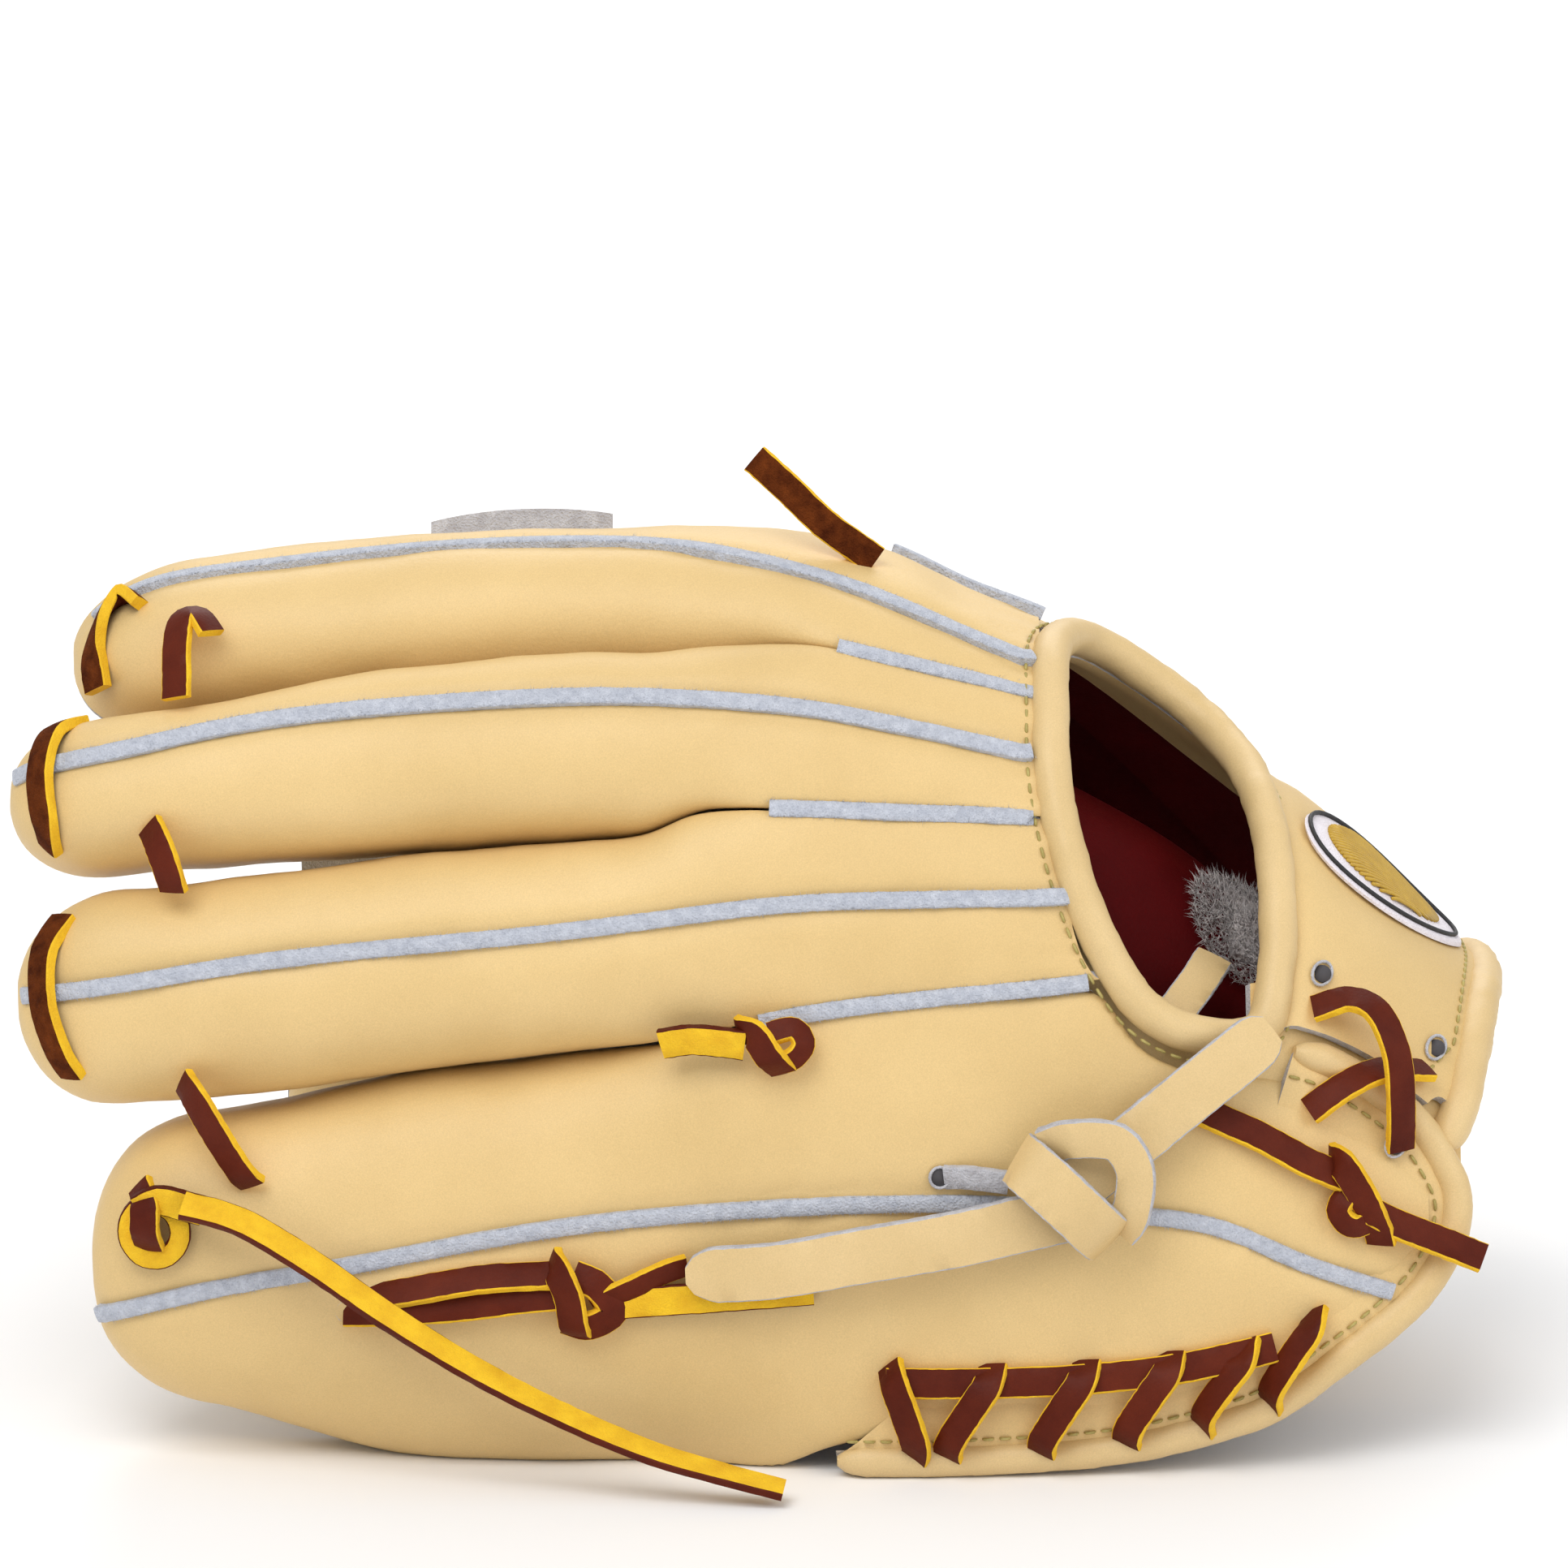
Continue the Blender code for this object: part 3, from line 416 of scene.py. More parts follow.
camel = hide_finish("camel_hide", (0.75, 0.535, 0.238), (0.66, 0.46, 0.192), (0.44, 0.58), 0.26, 0.0003,
                    pebble=1150.0, pores=3600.0, tone=16.0)
raw_edge = hide_finish("raw_hide_edge", (0.62, 0.62, 0.66), (0.43, 0.42, 0.45), (0.85, 0.98), 0.9, 0.0006,
                       pebble=2200.0, pores=5000.0, tone=420.0, sheen=0.2)
flesh_side = hide_finish("hide_flesh_side", (0.56, 0.50, 0.42), (0.45, 0.39, 0.31), (0.85, 0.98), 0.8, 0.0005,
                         pebble=2200.0, pores=5000.0, tone=200.0)


def cut_leather(name, outer, body, stands_for=(), thick=HIDE_THICK, finishes=None,
                capped=False):
    """A cut sheet of leather from the grid of its outer face, rows by columns, in metres."""
    rows, columns = outer.shape[:2]
    away = unit(np.cross(np.gradient(outer, axis=0), np.gradient(outer, axis=1)) + 1e-15)
    inner = outer - away * thick * MM
    inner[..., 2] = np.maximum(inner[..., 2], 0.0002)
    index = np.arange(rows * columns).reshape(rows, columns)
    a, b, c, d = index[:-1, :-1], index[1:, :-1], index[1:, 1:], index[:-1, 1:]
    quads = np.stack([a, b, c, d], axis=-1).reshape(-1, 4)
    rim = np.concatenate([index[0, :-1], index[:-1, -1], index[-1, :0:-1], index[:0:-1, 0]])
    beside = np.roll(rim, -1)
    edges = np.stack([rim, beside, beside + rows * columns, rim + rows * columns], axis=-1)
    faces = [tuple(face) for face in np.concatenate([quads, quads[:, ::-1] + rows * columns, edges]).tolist()]
    finish_of = [0] * len(quads) + [1] * len(quads) + [2] * len(edges)
    if capped:                              # the small opening left at a fingertip's point
        del faces[2 * len(quads):2 * len(quads) + columns - 1]
        del finish_of[2 * len(quads):2 * len(quads) + columns - 1]
        faces += [tuple(index[0].tolist()), tuple((index[0, ::-1] + rows * columns).tolist()),
                  (int(index[0, 0]), int(index[0, -1]), int(index[0, -1]) + rows * columns,
                   int(index[0, 0]) + rows * columns)]
        finish_of += [0, 1, 2]
    points = np.concatenate([outer.reshape(-1, 3), inner.reshape(-1, 3)])
    return new_piece(name, points, faces, finishes or (camel, flesh_side, raw_edge), body, stands_for,
                     finish_of)


def finger_stations(tip, end, step=2.2):
    """Stations from a fingertip to its end, closer together over the rounded tip."""
    turns = np.radians(np.linspace(9, 90, 16))
    return np.concatenate([tip + DOME * (1 - np.cos(turns)), np.arange(tip + DOME + step, end, step), [end]])


def tip_size(x, tip):
    """Share of the finger's full section at x: a squarish dome."""
    left = np.clip(1 - (np.asarray(x, float) - tip) / DOME, 0, 1)
    return (1 - left ** 2.3) ** (1 / 2.3)


def before_hole(s):
    """Station at which a back stops under the hand hole's rolled edge."""
    return along([(s_hole, x) for x, s_hole in reversed(HOLE[:8])], s) - HOLE_ROLL + 1.2


def finger_section(x, low, high, size, seam, valleys, b):
    """The (s, t) of a finger's back at station x and parts b, from 0 to 1, of the way over it."""
    turn = np.pi * b
    middle, half = (low + high) / 2, (high - low) / 2 * size
    s = middle - half * np.sign(np.cos(turn)) * np.abs(np.cos(turn)) ** 0.8
    floors = [FACE + (valley - FACE) * ease(x, start - 46, start) for start, valley in valleys]
    floor = np.where(b < 0.5, floors[0], floors[1])
    floor = 2 + (floor - 2) * size
    crown = 2 + (CROWN - 2) * size
    t = floor + (crown - floor) * np.sin(turn) ** 0.72
    t = t - 1.7 * np.exp(-((s - seam) / 2.3) ** 2) * ease(size, 0.2, 0.9)
    return s, t


def towards_hole(xs, s, t):
    """Near the hand hole the backs are drawn flat under its edge, with creases that run into it."""
    away = before_hole(s) - xs
    flat = 12.6 + (t - 12.6) * ease(away, 0, 15)
    crease = 0.34 * np.sin(s * 1.02 + 1.4 * np.sin(s * 0.23)) * np.exp(-np.maximum(away, 0) / 9)
    return flat + crease * ease(away, -6, 2)


def finger_back(name, tip, low, high, seam, valleys, stands_for, end=None, body="root", columns=44, seed=0.0):
    part = np.linspace(0, 1, columns)
    part = part - 0.055 * np.sin(2 * np.pi * part)          # more of them near the sides
    longest = 72.0 if end is None else end
    grid = []
    for x in finger_stations(tip, longest):
        share = np.clip((x - tip - DOME) / (longest - tip - DOME), 0, 1)
        xs = np.full(columns, x)
        if end is None:
            s_guess = low(x) + (high(x) - low(x)) * part
            stop = before_hole(s_guess)
            xs = np.where(share > 0, tip + DOME + share * (stop - tip - DOME), x)
        s, t = finger_section(xs, low(xs), high(xs), tip_size(xs, tip), seam(xs), valleys, part)
        if end is None:
            t = towards_hole(xs, s, t)
        grid.append(arch(xs, s, t))
    grid = np.array(grid)
    lift = relief(grid, 17, 0.55, seed) + relief(grid, 6, 0.14, seed + 9)
    out = unit(np.cross(np.gradient(grid, axis=0), np.gradient(grid, axis=1)) + 1e-15)
    out[..., 2] = np.where(grid[..., 2] < 2 * MM, 0, out[..., 2])
    return cut_leather(name, grid + out * lift[..., None] * MM, body, stands_for, capped=True)


TIP_GAP = 1.6                               # between neighbouring fingertips


def between_lines(line, sign):
    """A finger's edge beside a line between fingers: a little clear of it towards the tips."""
    return lambda x: along(line, x) + sign * (0.25 + TIP_GAP * (1 - ease(x, -125, -60)))


def seam_line(table):
    return lambda x: along(table, x)


finger_back("ring_finger_back", -153, between_lines(RING_PINKY, 1), between_lines(MIDDLE_RING, -1),
            seam_line(RING_SEAM), ((1, 10.2), (2, 10.2)), ("ring_stall", "ring_back_panel"), seed=1.0)
finger_back("middle_finger_back", -155, between_lines(MIDDLE_RING, 1), between_lines(INDEX_MIDDLE, -1),
            seam_line(MIDDLE_SEAM), ((2, 10.2), (17, 10.6)), ("middle_stall", "middle_back_panel"), seed=2.0)
finger_back("index_finger_back", -143, between_lines(INDEX_MIDDLE, 1), lambda x: along(INDEX_FAR, x),
            seam_line(INDEX_SEAM), ((17, 10.6), (24, 10.8)), ("index_stall", "index_back_panel"), seed=3.0)

PINKY_LOW = [(-138, 12), (-110, 8), (-75, -1.5), (-20, -3), (4, -1), (12, 4), (22, 7.5), (70, 9), (90, 12.5),
             (105, 17.5), (118, 25.5), (128, 32.5), (138, 43)]
PINKY_HIGH = [(62, 97), (70, 95.5), (77, 86.5), (86, 81), (95, 78.5), (106, 77), (119, 70.5), (134, 58.5),
              (138, 53)]


def pinky_high(x):
    return np.where(x < 62, between_lines(RING_PINKY, -1)(x) - 1.3 * ease(x, 30, 62), along(PINKY_HIGH, x))


finger_back("pinky_finger_back", -138, lambda x: along(PINKY_LOW, x), pinky_high, seam_line(PINKY_SEAM),
            ((24, 10.5), (1, 10.2)), ("pinky_stall", "pinky_heel_panel"), end=138.0, columns=70, seed=4.0)

# The thumb's back, from its tip to its heel, and the leather of the crotch between it and the
# index finger, which bends where the thumb folds toward the fingers.
THUMB_TIP = -102
THUMB_HIGH = [(-102, 66), (-80, 69), (-50, 72), (-10, 72), (4, 71), (60, 72), (100, 70), (132, 66)]
THUMB_LOW = [(-102, 6), (-80, 1), (-50, -4), (-10, -4), (5, -1), (60, -1), (80, 4), (105, 16), (118, 26),
             (132, 38)]
THUMB_SEAM = [(-102, 39), (-86, 38), (-50, 36), (0, 38), (60, 42), (105, 44)]
CROTCH_LOW = [(4, 217.5), (24, 206.5), (44, 193.5), (62, 186), (70, 186), (80, 183.5), (93, 172.5),
              (101, 156.5), (107, 148)]
HINGE_START = (-130, 40, 112)
HINGE_END = (130, 40, 75)


def fold(x):
    """Distance over the arch, on the thumb's side, at which it is as high as the hinge line."""
    part = (x - HINGE_START[0]) / (HINGE_END[0] - HINGE_START[0])
    high = HINGE_START[2] + part * (HINGE_END[2] - HINGE_START[2])
    row = ARCH_ROWS[int(round(x)) - FIRST]
    half = SAMPLES // 2
    return float(np.interp(-high, -row[1, half:], np.linspace(0, 1, SAMPLES + 1)[half:])) * float(total(x))


finger_back("thumb_finger_back", THUMB_TIP, lambda x: total(x) - along(THUMB_HIGH, x),
            lambda x: total(x) - along(THUMB_LOW, x), lambda x: total(x) - along(THUMB_SEAM, x),
            ((14, 10.4), (24, 10.5)), ("thumb_stall", "thumb_heel_panel"), end=132.0, body="thumb_side",
            columns=60, seed=5.0)

part = np.linspace(0, 1, 60)
crotch = []
for x in np.linspace(4, 107, 52):
    low, high = along(CROTCH_LOW, x), total(x) - along(THUMB_HIGH, x) - 0.5
    crotch.append(arch(x, low + (high - low) * part, 10.6 + 3.1 * np.sin(np.pi * part) ** 0.55))
crotch = np.array(crotch)
crotch_out = unit(np.cross(np.gradient(crotch, axis=0), np.gradient(crotch, axis=1)))
cut_leather("crotch_back", crotch + crotch_out * relief(crotch, 19, 0.6, 6.0)[..., None] * MM, "fold",
            stands_for=("crotch_panel",))


# The palm side: one face of leather to each finger, the palm behind them, and the palm's share
# on the thumb. All are smooth side out, toward the ball.
PALM_FACE = [(-150, -12), (-20, -12), (20, -20), (50, -26), (95, -26), (130, -20), (146, -16)]
PALM_LOW = [(-12, 2.5), (80, 4), (95, 11), (105, 17), (115, 23), (128, 31), (137, 40), (140, 52)]
PALM_LEATHER = 3.0
FOLD_MARGIN = 10.0                          # the palm is sewn this far before the fold


def finger_face(name, tip, low, high, end, body="root", stands_for=(), columns=18):
    part = np.linspace(1, 0, columns)
    grid = []
    for x in finger_stations(tip, end, 5.0):
        size = tip_size(x, tip)
        middle, half = (low(x) + high(x)) / 2, (high(x) - low(x)) / 2 * size
        bulge = 1.6 * (1 - (2 * part - 1) ** 2) * size
        grid.append(arch(x, middle + (2 * part - 1) * (half - 0.3), 2 + (FACE - 3.2) * size - bulge))
    grid = np.array(grid)
    return cut_leather(name, grid, body, stands_for=stands_for, capped=True)


finger_face("pinky_face_leather", -138, lambda x: along(PINKY_LOW, x), pinky_high, -8.0)
finger_face("ring_face_leather", -153, between_lines(RING_PINKY, 1), between_lines(MIDDLE_RING, -1), -8.0)
finger_face("middle_face_leather", -155, between_lines(MIDDLE_RING, 1), between_lines(INDEX_MIDDLE, -1), -8.0)
finger_face("index_face_leather", -143, between_lines(INDEX_MIDDLE, 1), lambda x: along(INDEX_FAR, x), -8.0)
finger_face("thumb_front_leather", THUMB_TIP, lambda x: total(x) - along(THUMB_HIGH, x),
            lambda x: total(x) - along(THUMB_LOW, x), 14.0, "thumb_side", ("thumb_face_leather",))


def palm_sheet(name, stations, low, high, level, body, stands_for, seed, thick=PALM_LEATHER, columns=56,
               finishes=None, outer_side=-1):
    """A sheet that follows the palm at a level from its inner face."""
    part = np.linspace(1, 0, columns) if outer_side < 0 else np.linspace(0, 1, columns)
    grid = np.array([arch(x, low(x) + (high(x) - low(x)) * part, along(PALM_FACE, x) + level)
                     for x in stations])
    out = unit(np.cross(np.gradient(grid, axis=0), np.gradient(grid, axis=1)) + 1e-15)
    grid = grid + out * relief(grid, 22, 0.8, seed)[..., None] * MM
    grid[..., 2] = np.maximum(grid[..., 2], 0.0006)
    return cut_leather(name, grid, body, stands_for, thick, finishes)


def palm_high(x):
    return 217 + (fold(x) - FOLD_MARGIN - 217) * float(ease(x, -2, 9))


palm_sheet("palm_hide", np.linspace(-13, 139, 60), lambda x: along(PALM_LOW, x), palm_high, -PALM_LEATHER,
           "root", ("palm_leather",), 7.0)
palm_sheet("thumb_palm_hide", np.linspace(9, 128, 50), lambda x: fold(x) - FOLD_MARGIN - 1.5,
           lambda x: total(x) - along(PALM_LOW, x) + 1, -PALM_LEATHER - 0.4, "fold",
           ("thumb_palm_leather",), 8.0, columns=40)


# Behind the palm's leather: a felt pad under the heel of the hand, stiff felt inserts in the two
# heels, and the red lining that the hand feels, turned up under the hand hole's edge.
pad_felt = hide_finish("pad_felt", (0.42, 0.39, 0.35), (0.30, 0.27, 0.24), (0.9, 1.0), 0.9, 0.0008,
                       pebble=900.0, tone=120.0)
red_cloth = hide_finish("red_lining", (0.105, 0.001, 0.002), (0.060, 0.0005, 0.001), (0.6, 0.8), 0.35, 0.0003,
                        pebble=1700.0, tone=30.0, gloss=0.1)
palm_sheet("palm_pad", np.linspace(38, 120, 24), lambda x: along(PALM_LOW, x) + 15,
           lambda x: fold(x) - 24, 4.0, "root", ("palm_padding",), 9.0, 2.6, 30, (pad_felt, pad_felt, pad_felt),
           1)
palm_sheet("red_palm_lining", np.linspace(4, 132, 60), lambda x: along(PALM_LOW, x) + 4,
           lambda x: fold(x) - 11, 7.2, "root", ("palm_lining",), 10.0, 1.0, 60,
           (red_cloth, red_cloth, red_cloth), 1)


def heel_insert(name, middle_of, body, stands_for):
    part = np.linspace(0, 1, 12)
    grid = np.array([arch(x, middle_of(x) + 24 * (part - 0.5), 7.2 + 2.0 * np.sin(np.pi * part) ** 0.5)
                     for x in np.linspace(14, 80, 16)])
    insert = cut_leather(name, grid, body, stands_for, 2.6, (pad_felt, pad_felt, pad_felt))


heel_insert("pinky_heel_insert", lambda x: 28, "root", ("pinky_insert",))
heel_insert("thumb_heel_insert", lambda x: total(x) - 28, "thumb_side", ("thumb_insert",))

hole_line = curve_points([(x, s, 0) for x, s in HOLE], 120, closed=True)[:, :2]
hole_way = directions(hole_line, closed=True)
hole_out = np.stack([-hole_way[:, 1], hole_way[:, 0]], axis=1)
if (hole_out * (hole_line - hole_line.mean(axis=0))).sum() < 0:
    hole_out = -hole_out


def hole_ring(name, reaches, heights, finishes, thick, stands_for=()):
    """A band under the back that follows the hand hole, its outer face looking in at the hand."""
    grid = np.array([arch(*(hole_line + hole_out * reach).T, t) for reach, t in zip(reaches, heights)])
    grid = np.concatenate([grid, grid[:, :1]], axis=1)
    return cut_leather(name, grid, "root", stands_for, thick, finishes)


hole_ring("hole_facing", (1.0, 2.5, 5, 8, 11, 13), (8.8, 7.6, 7.2, 7.0, 6.8, 6.7),
          (camel, camel, raw_edge), 1.6)
hole_ring("red_back_lining", (9, 14, 20, 26, 32), (7.6, 6.0, 5.2, 4.6, 4.0),
          (red_cloth, red_cloth, red_cloth), 0.8)


crotch_red = crotch - crotch_out * 3.4 * MM
cut_leather("crotch_red_lining", crotch_red, "fold", (), 0.8, (red_cloth, red_cloth, red_cloth))


# The raw welts: strips of undyed hide whose cut edge stands up in each seam, soft and fibrous.
# One runs down the middle of each finger, and one lies between two columns of the back.
welt_hide = hide_finish("welt_hide", (0.66, 0.69, 0.77), (0.42, 0.45, 0.53), (0.88, 1.0), 1.0, 0.0007,
                        pebble=1900.0, pores=5200.0, tone=520.0, sheen=0.3, spread=(0.25, 0.75))
WELT_WIDTH = 3.5
WELT_THICK = 2.6


def fibres(name, roots, aims, body, finish, length, thick, seed, spray=0.6):
    """Short fine hairs, each a bent three-sided blade, that stand on roots and lean along aims."""
    chance = np.random.default_rng(seed)
    points, faces = [], []
    for root, aim in zip(roots, aims):
        lean = unit(aim + chance.normal(0, spray, 3))
        side = unit(np.cross(lean, chance.normal(0, 1, 3))) * thick * MM
        reach = length * MM * chance.uniform(0.45, 1.15)
        droop = unit(chance.normal(0, 1, 3)) * reach * 0.3
        k = len(points)
        points += [root - side, root + side, root + np.cross(lean, side), root + lean * reach + droop]
        faces += [(k, k + 1, k + 3), (k + 1, k + 2, k + 3), (k + 2, k, k + 3), (k, k + 2, k + 1)]
    return new_piece(name, points, faces, (finish,), body, sharp=180)


def welt(name, table, first, last, height_at, body, stands_for, seed, from_back=False):
    xs = np.arange(first, last + 0.1, 1.2)
    s = along(table, xs)
    s = total(xs) - s if from_back else s
    points = arch(xs, s, height_at(xs))
    ups = outward(xs, s)
    strip = lace(name, points, ups, body, stands_for, WELT_WIDTH, WELT_THICK,
                 (welt_hide, welt_hide, welt_hide), seed=seed)
    side = unit(np.cross(directions(points), ups))
    chance = np.random.default_rng(int(seed * 10))
    pick = chance.integers(0, len(points), len(points) * 9)
    sign = np.where(chance.random(len(pick)) < 0.35, -1.0, 1.0)[:, None]
    spread = np.where(chance.random(len(pick)) < 0.4, chance.random(len(pick)), 1.0)[:, None]
    slide = directions(points)[pick] * chance.uniform(-0.6, 0.6, (len(pick), 1)) * MM
    roots = points[pick] + side[pick] * sign * spread * (WELT_WIDTH / 2 - 0.1) * MM + slide \
        + ups[pick] * (WELT_THICK / 2 - 0.15) * MM
    aims = side[pick] * sign * spread + ups[pick] * 0.5 + directions(points)[pick] * 0.3
    fibres(name.replace("welt", "welt_fibres"), roots, aims, body, welt_hide, 0.9, 0.05,
           int(seed))
    return strip


def seam_height(tip):
    """The height of a finger's welt: on the crown, and down over the rounded tip."""
    return lambda x: 2 + (CROWN - 2) * tip_size(x, tip) - 1.7 + 0.75


def valley_height(x):
    return 11.6 + 0 * x


welt("index_welt", INDEX_SEAM, -138, 57, seam_height(-143), "root", ("index_seam_strip",), 11)
welt("middle_welt", MIDDLE_SEAM, -153, 56, seam_height(-155), "root", ("middle_seam_strip",), 12)
welt("ring_welt", RING_SEAM, -151, 66, seam_height(-153), "root", ("ring_seam_strip",), 13)
welt("pinky_welt", PINKY_SEAM, -136, 131, seam_height(-138), "root", ("pinky_seam_strip",), 14)
welt("thumb_welt", THUMB_SEAM, -100, 118, seam_height(THUMB_TIP), "thumb_side", ("thumb_seam_strip",), 15,
     from_back=True)
welt("index_middle_gap_welt", INDEX_MIDDLE, 16, 57, valley_height, "root", ("index_middle_gap_strip",), 16)
welt("middle_ring_gap_welt", MIDDLE_RING, 2, 57, valley_height, "root", ("middle_ring_gap_strip",), 17)
welt("ring_pinky_gap_welt", RING_PINKY, 0, 68, valley_height, "root", ("ring_pinky_gap_strip",), 18)
welt("index_far_welt", INDEX_FAR, 28, 60, lambda x: 13.4 + 0 * x, "root", (), 19)


# Rolled edges: a strip of hide folded over the cut edges of the hand hole, the heel and the wrist
# strap, and sewn down through them with waxed thread.
edge_hide = hide_finish("rolled_hide", (0.72, 0.525, 0.258), (0.64, 0.455, 0.205), (0.42, 0.57), 0.22,
                        0.00025, pebble=1150.0, pores=3600.0, tone=30.0)
thread = hide_finish("waxed_thread", (0.48, 0.40, 0.13), (0.33, 0.26, 0.07), (0.45, 0.6), 0.4, 0.0002,
                     pebble=3000.0, tone=300.0)
EDGE_LEVEL = 12.25


def rolled_edge(name, route, count, radius, stands_for, closed=False, seed=0.0, body="root", sides=18):
    """A soft roll along a route of (x, s, t): it puckers a little, unevenly, along its length."""
    spots = curve_points(route, count, closed)
    points = arch(*spots.T)
    way = directions(points, closed)
    side = unit(np.cross(way, outward(spots[:, 0], spots[:, 1])))
    up = np.cross(side, way)
    rings = []
    from_end = np.minimum(np.arange(len(points)), np.arange(len(points))[::-1])
    full = radius
    for k in range(len(points)):
        closing = min((from_end[k] + 0.25) / 5, 1.0)
        radius = full if closed else full * math.sqrt(1 - (1 - closing) ** 2)
        for j in range(sides):
            turn = 2 * math.pi * (j + 0.5) / sides
            aim = math.cos(turn) * side[k] + math.sin(turn) * up[k]
            spot = points[k] + radius * MM * aim
            wave = 0.28 * noise.noise(Vector(spot / (5.0 * MM)) + Vector((seed, 0, 0)))
            wave += 0.16 * noise.noise(Vector(spot / (1.9 * MM)) + Vector((0, seed, 0)))
            spot = points[k] + (radius + wave) * MM * aim
            spot[2] = max(spot[2], 0.0)
            rings.append(spot)
    return new_piece(name, rings, tube_faces(len(points), sides, closed), (edge_hide,), body,
                     stands_for)


def stitches(name, points, ups, spacing, length, body="root", thick=0.34):
    """A row of separate stitches along points in metres, each a short rod that dips at its ends."""
    run = np.concatenate([[0], np.cumsum(np.linalg.norm(np.diff(points, axis=0), axis=1))]) / MM
    places, faces = [], []
    around, steps = 6, (-1.0, -0.7, 0.0, 0.7, 1.0)
    for middle in np.arange(spacing / 2, run[-1] - length, spacing):      # the last has room to end
        first = len(places)
        for step in steps:
            at = middle + step * length / 2
            spot = np.array([np.interp(at, run, points[:, k]) for k in range(3)])
            up = unit(np.array([np.interp(at, run, ups[:, k]) for k in range(3)]))
            ahead = np.array([np.interp(at + 0.5, run, points[:, k]) for k in range(3)])
            back = np.array([np.interp(at - 0.5, run, points[:, k]) for k in range(3)])
            side = unit(np.cross(ahead - back, up))
            size = thick * (0.45 if abs(step) == 1 else 1.0) * MM
            spot = spot - up * thick * 1.5 * MM * step ** 4
            for j in range(around):
                turn = 2 * math.pi * j / around
                places.append(spot + size * (math.cos(turn) * side + math.sin(turn) * up))
        faces += [tuple(first + i for i in face) for face in tube_faces(len(steps), around)]
    return new_piece(name, places, faces, (thread,), body, sharp=180)


def stitched_line(name, line, t, spacing=3.5, length=2.5, body="root"):
    """Stitches along a line of (x, s), on leather at height t."""
    line = np.asarray(line, float)
    points, ups = arch(line[:, 0], line[:, 1], t), outward(line[:, 0], line[:, 1])
    return stitches(name, points, ups, spacing, length, body)


HEEL_EDGE = [(110, 81.5), (119, 77.5), (134, 66), (142, 55), (144, 48), (142, 41), (137, 34),
             (128, 27), (118, 20.5), (105, 12.5), (90, 8), (70, 4.5), (40, 3), (16, 3)]
rolled_edge("hand_hole_roll", [(x, s, EDGE_LEVEL) for x, s in HOLE], 150, HOLE_ROLL, ("hand_hole_binding",),
            closed=True, seed=20.0)
closed_hole = np.concatenate([hole_line + hole_out * 5.0, (hole_line + hole_out * 5.0)[:2]])
stitched_line("hand_hole_stitches", closed_hole, 12.9)
rolled_edge("heel_roll", [(x, s, EDGE_LEVEL) for x, s in HEEL_EDGE], 130, 3.4, ("heel_binding",), seed=21.0)
heel_line = curve_points([(x, s, 0) for x, s in HEEL_EDGE], 110)[:, :2]
heel_way = directions(heel_line)
heel_in = np.stack([heel_way[:, 1], -heel_way[:, 0]], axis=1)
if (heel_in * (np.array([80.0, 45.0]) - heel_line)).sum() < 0:
    heel_in = -heel_in
stitched_line("heel_stitches", heel_line + heel_in * 4.6, 13.9)
band_share = ease(heel_line[:, 0], 12, 34)[:, None]
heel_band = np.array([arch(*(heel_line + heel_in * reach * band_share).T, t)
                      for reach, t in ((0, 12.2), (3, 13.2), (6, 13.4), (9.5, 13.0), (13, 12.2))])
band_out = np.cross(np.gradient(heel_band, axis=0), np.gradient(heel_band, axis=1))
if (band_out * outward(heel_line[:, 0], heel_line[:, 1])).sum() < 0:
    heel_band = heel_band[:, ::-1]
cut_leather("heel_band", heel_band, "root")


# The wrist strap: a hide panel over the wrist with fleece under it, a rolled wrist edge and a
# sewn line along the hand hole. Its thumb end is a piece of its own.
STRAP_EDGE = [(0, 141), (0.1, 146), (0.22, 149.5), (0.4, 153), (0.58, 154.5), (0.76, 153), (1, 147)]
STRAP_START = [(81, 105.5), (97, 108), (119, 108), (132, 106.5), (150, 106.7), (166, 107), (230, 107)]
STRAP_LEVEL = 14.2
STRAP_ROLL = 4.0
fleece_wool = hide_finish("fleece_wool", (0.93, 0.87, 0.85), (0.78, 0.69, 0.67), (0.9, 1.0), 1.0, 0.0015,
                          pebble=620.0, pores=3000.0, tone=210.0, sheen=0.5)
# hole_shadow: a near-black colour of painted shade, for the insides of the eyelet holes.
hole_shadow = plain_material("hole_shadow", (0.07, 0.065, 0.07), 0.9)


def strap_place(a, b, inset=STRAP_ROLL):
    """(x, s) at share a from the hand hole to the wrist edge and share b of the strap's length."""
    edge = float(along(STRAP_EDGE, b)) - inset
    x = edge
    for _ in range(4):
        low = float(along(HEEL_EDGE[:5], x)) + 4.5
        high = fold(min(x, 128)) - 7 - 0.9 * max(x - 128, 0)
        s = low + b * (high - low)
        start = float(along(STRAP_START, s))
        x = start + a * (edge - start)
    return x, s


def strap_sheet(name, first, last, level, thick, inset, finishes, stands_for, seed, start=0.0):
    grid = []
    for a in np.linspace(start, 1, 22):
        row = []
        for b in np.linspace(first, last, 64):
            x, s = strap_place(a, b, inset)
            row.append(arch(x, s, level - 1.5 * (1 - float(ease(a, 0, 0.16)))))
        grid.append(row)
    grid = np.array(grid)
    out = unit(np.cross(np.gradient(grid, axis=0), np.gradient(grid, axis=1)) + 1e-15)
    grid = grid + out * relief(grid, 20, 0.5, seed)[..., None] * MM
    return cut_leather(name, grid, "root", stands_for, thick, finishes)


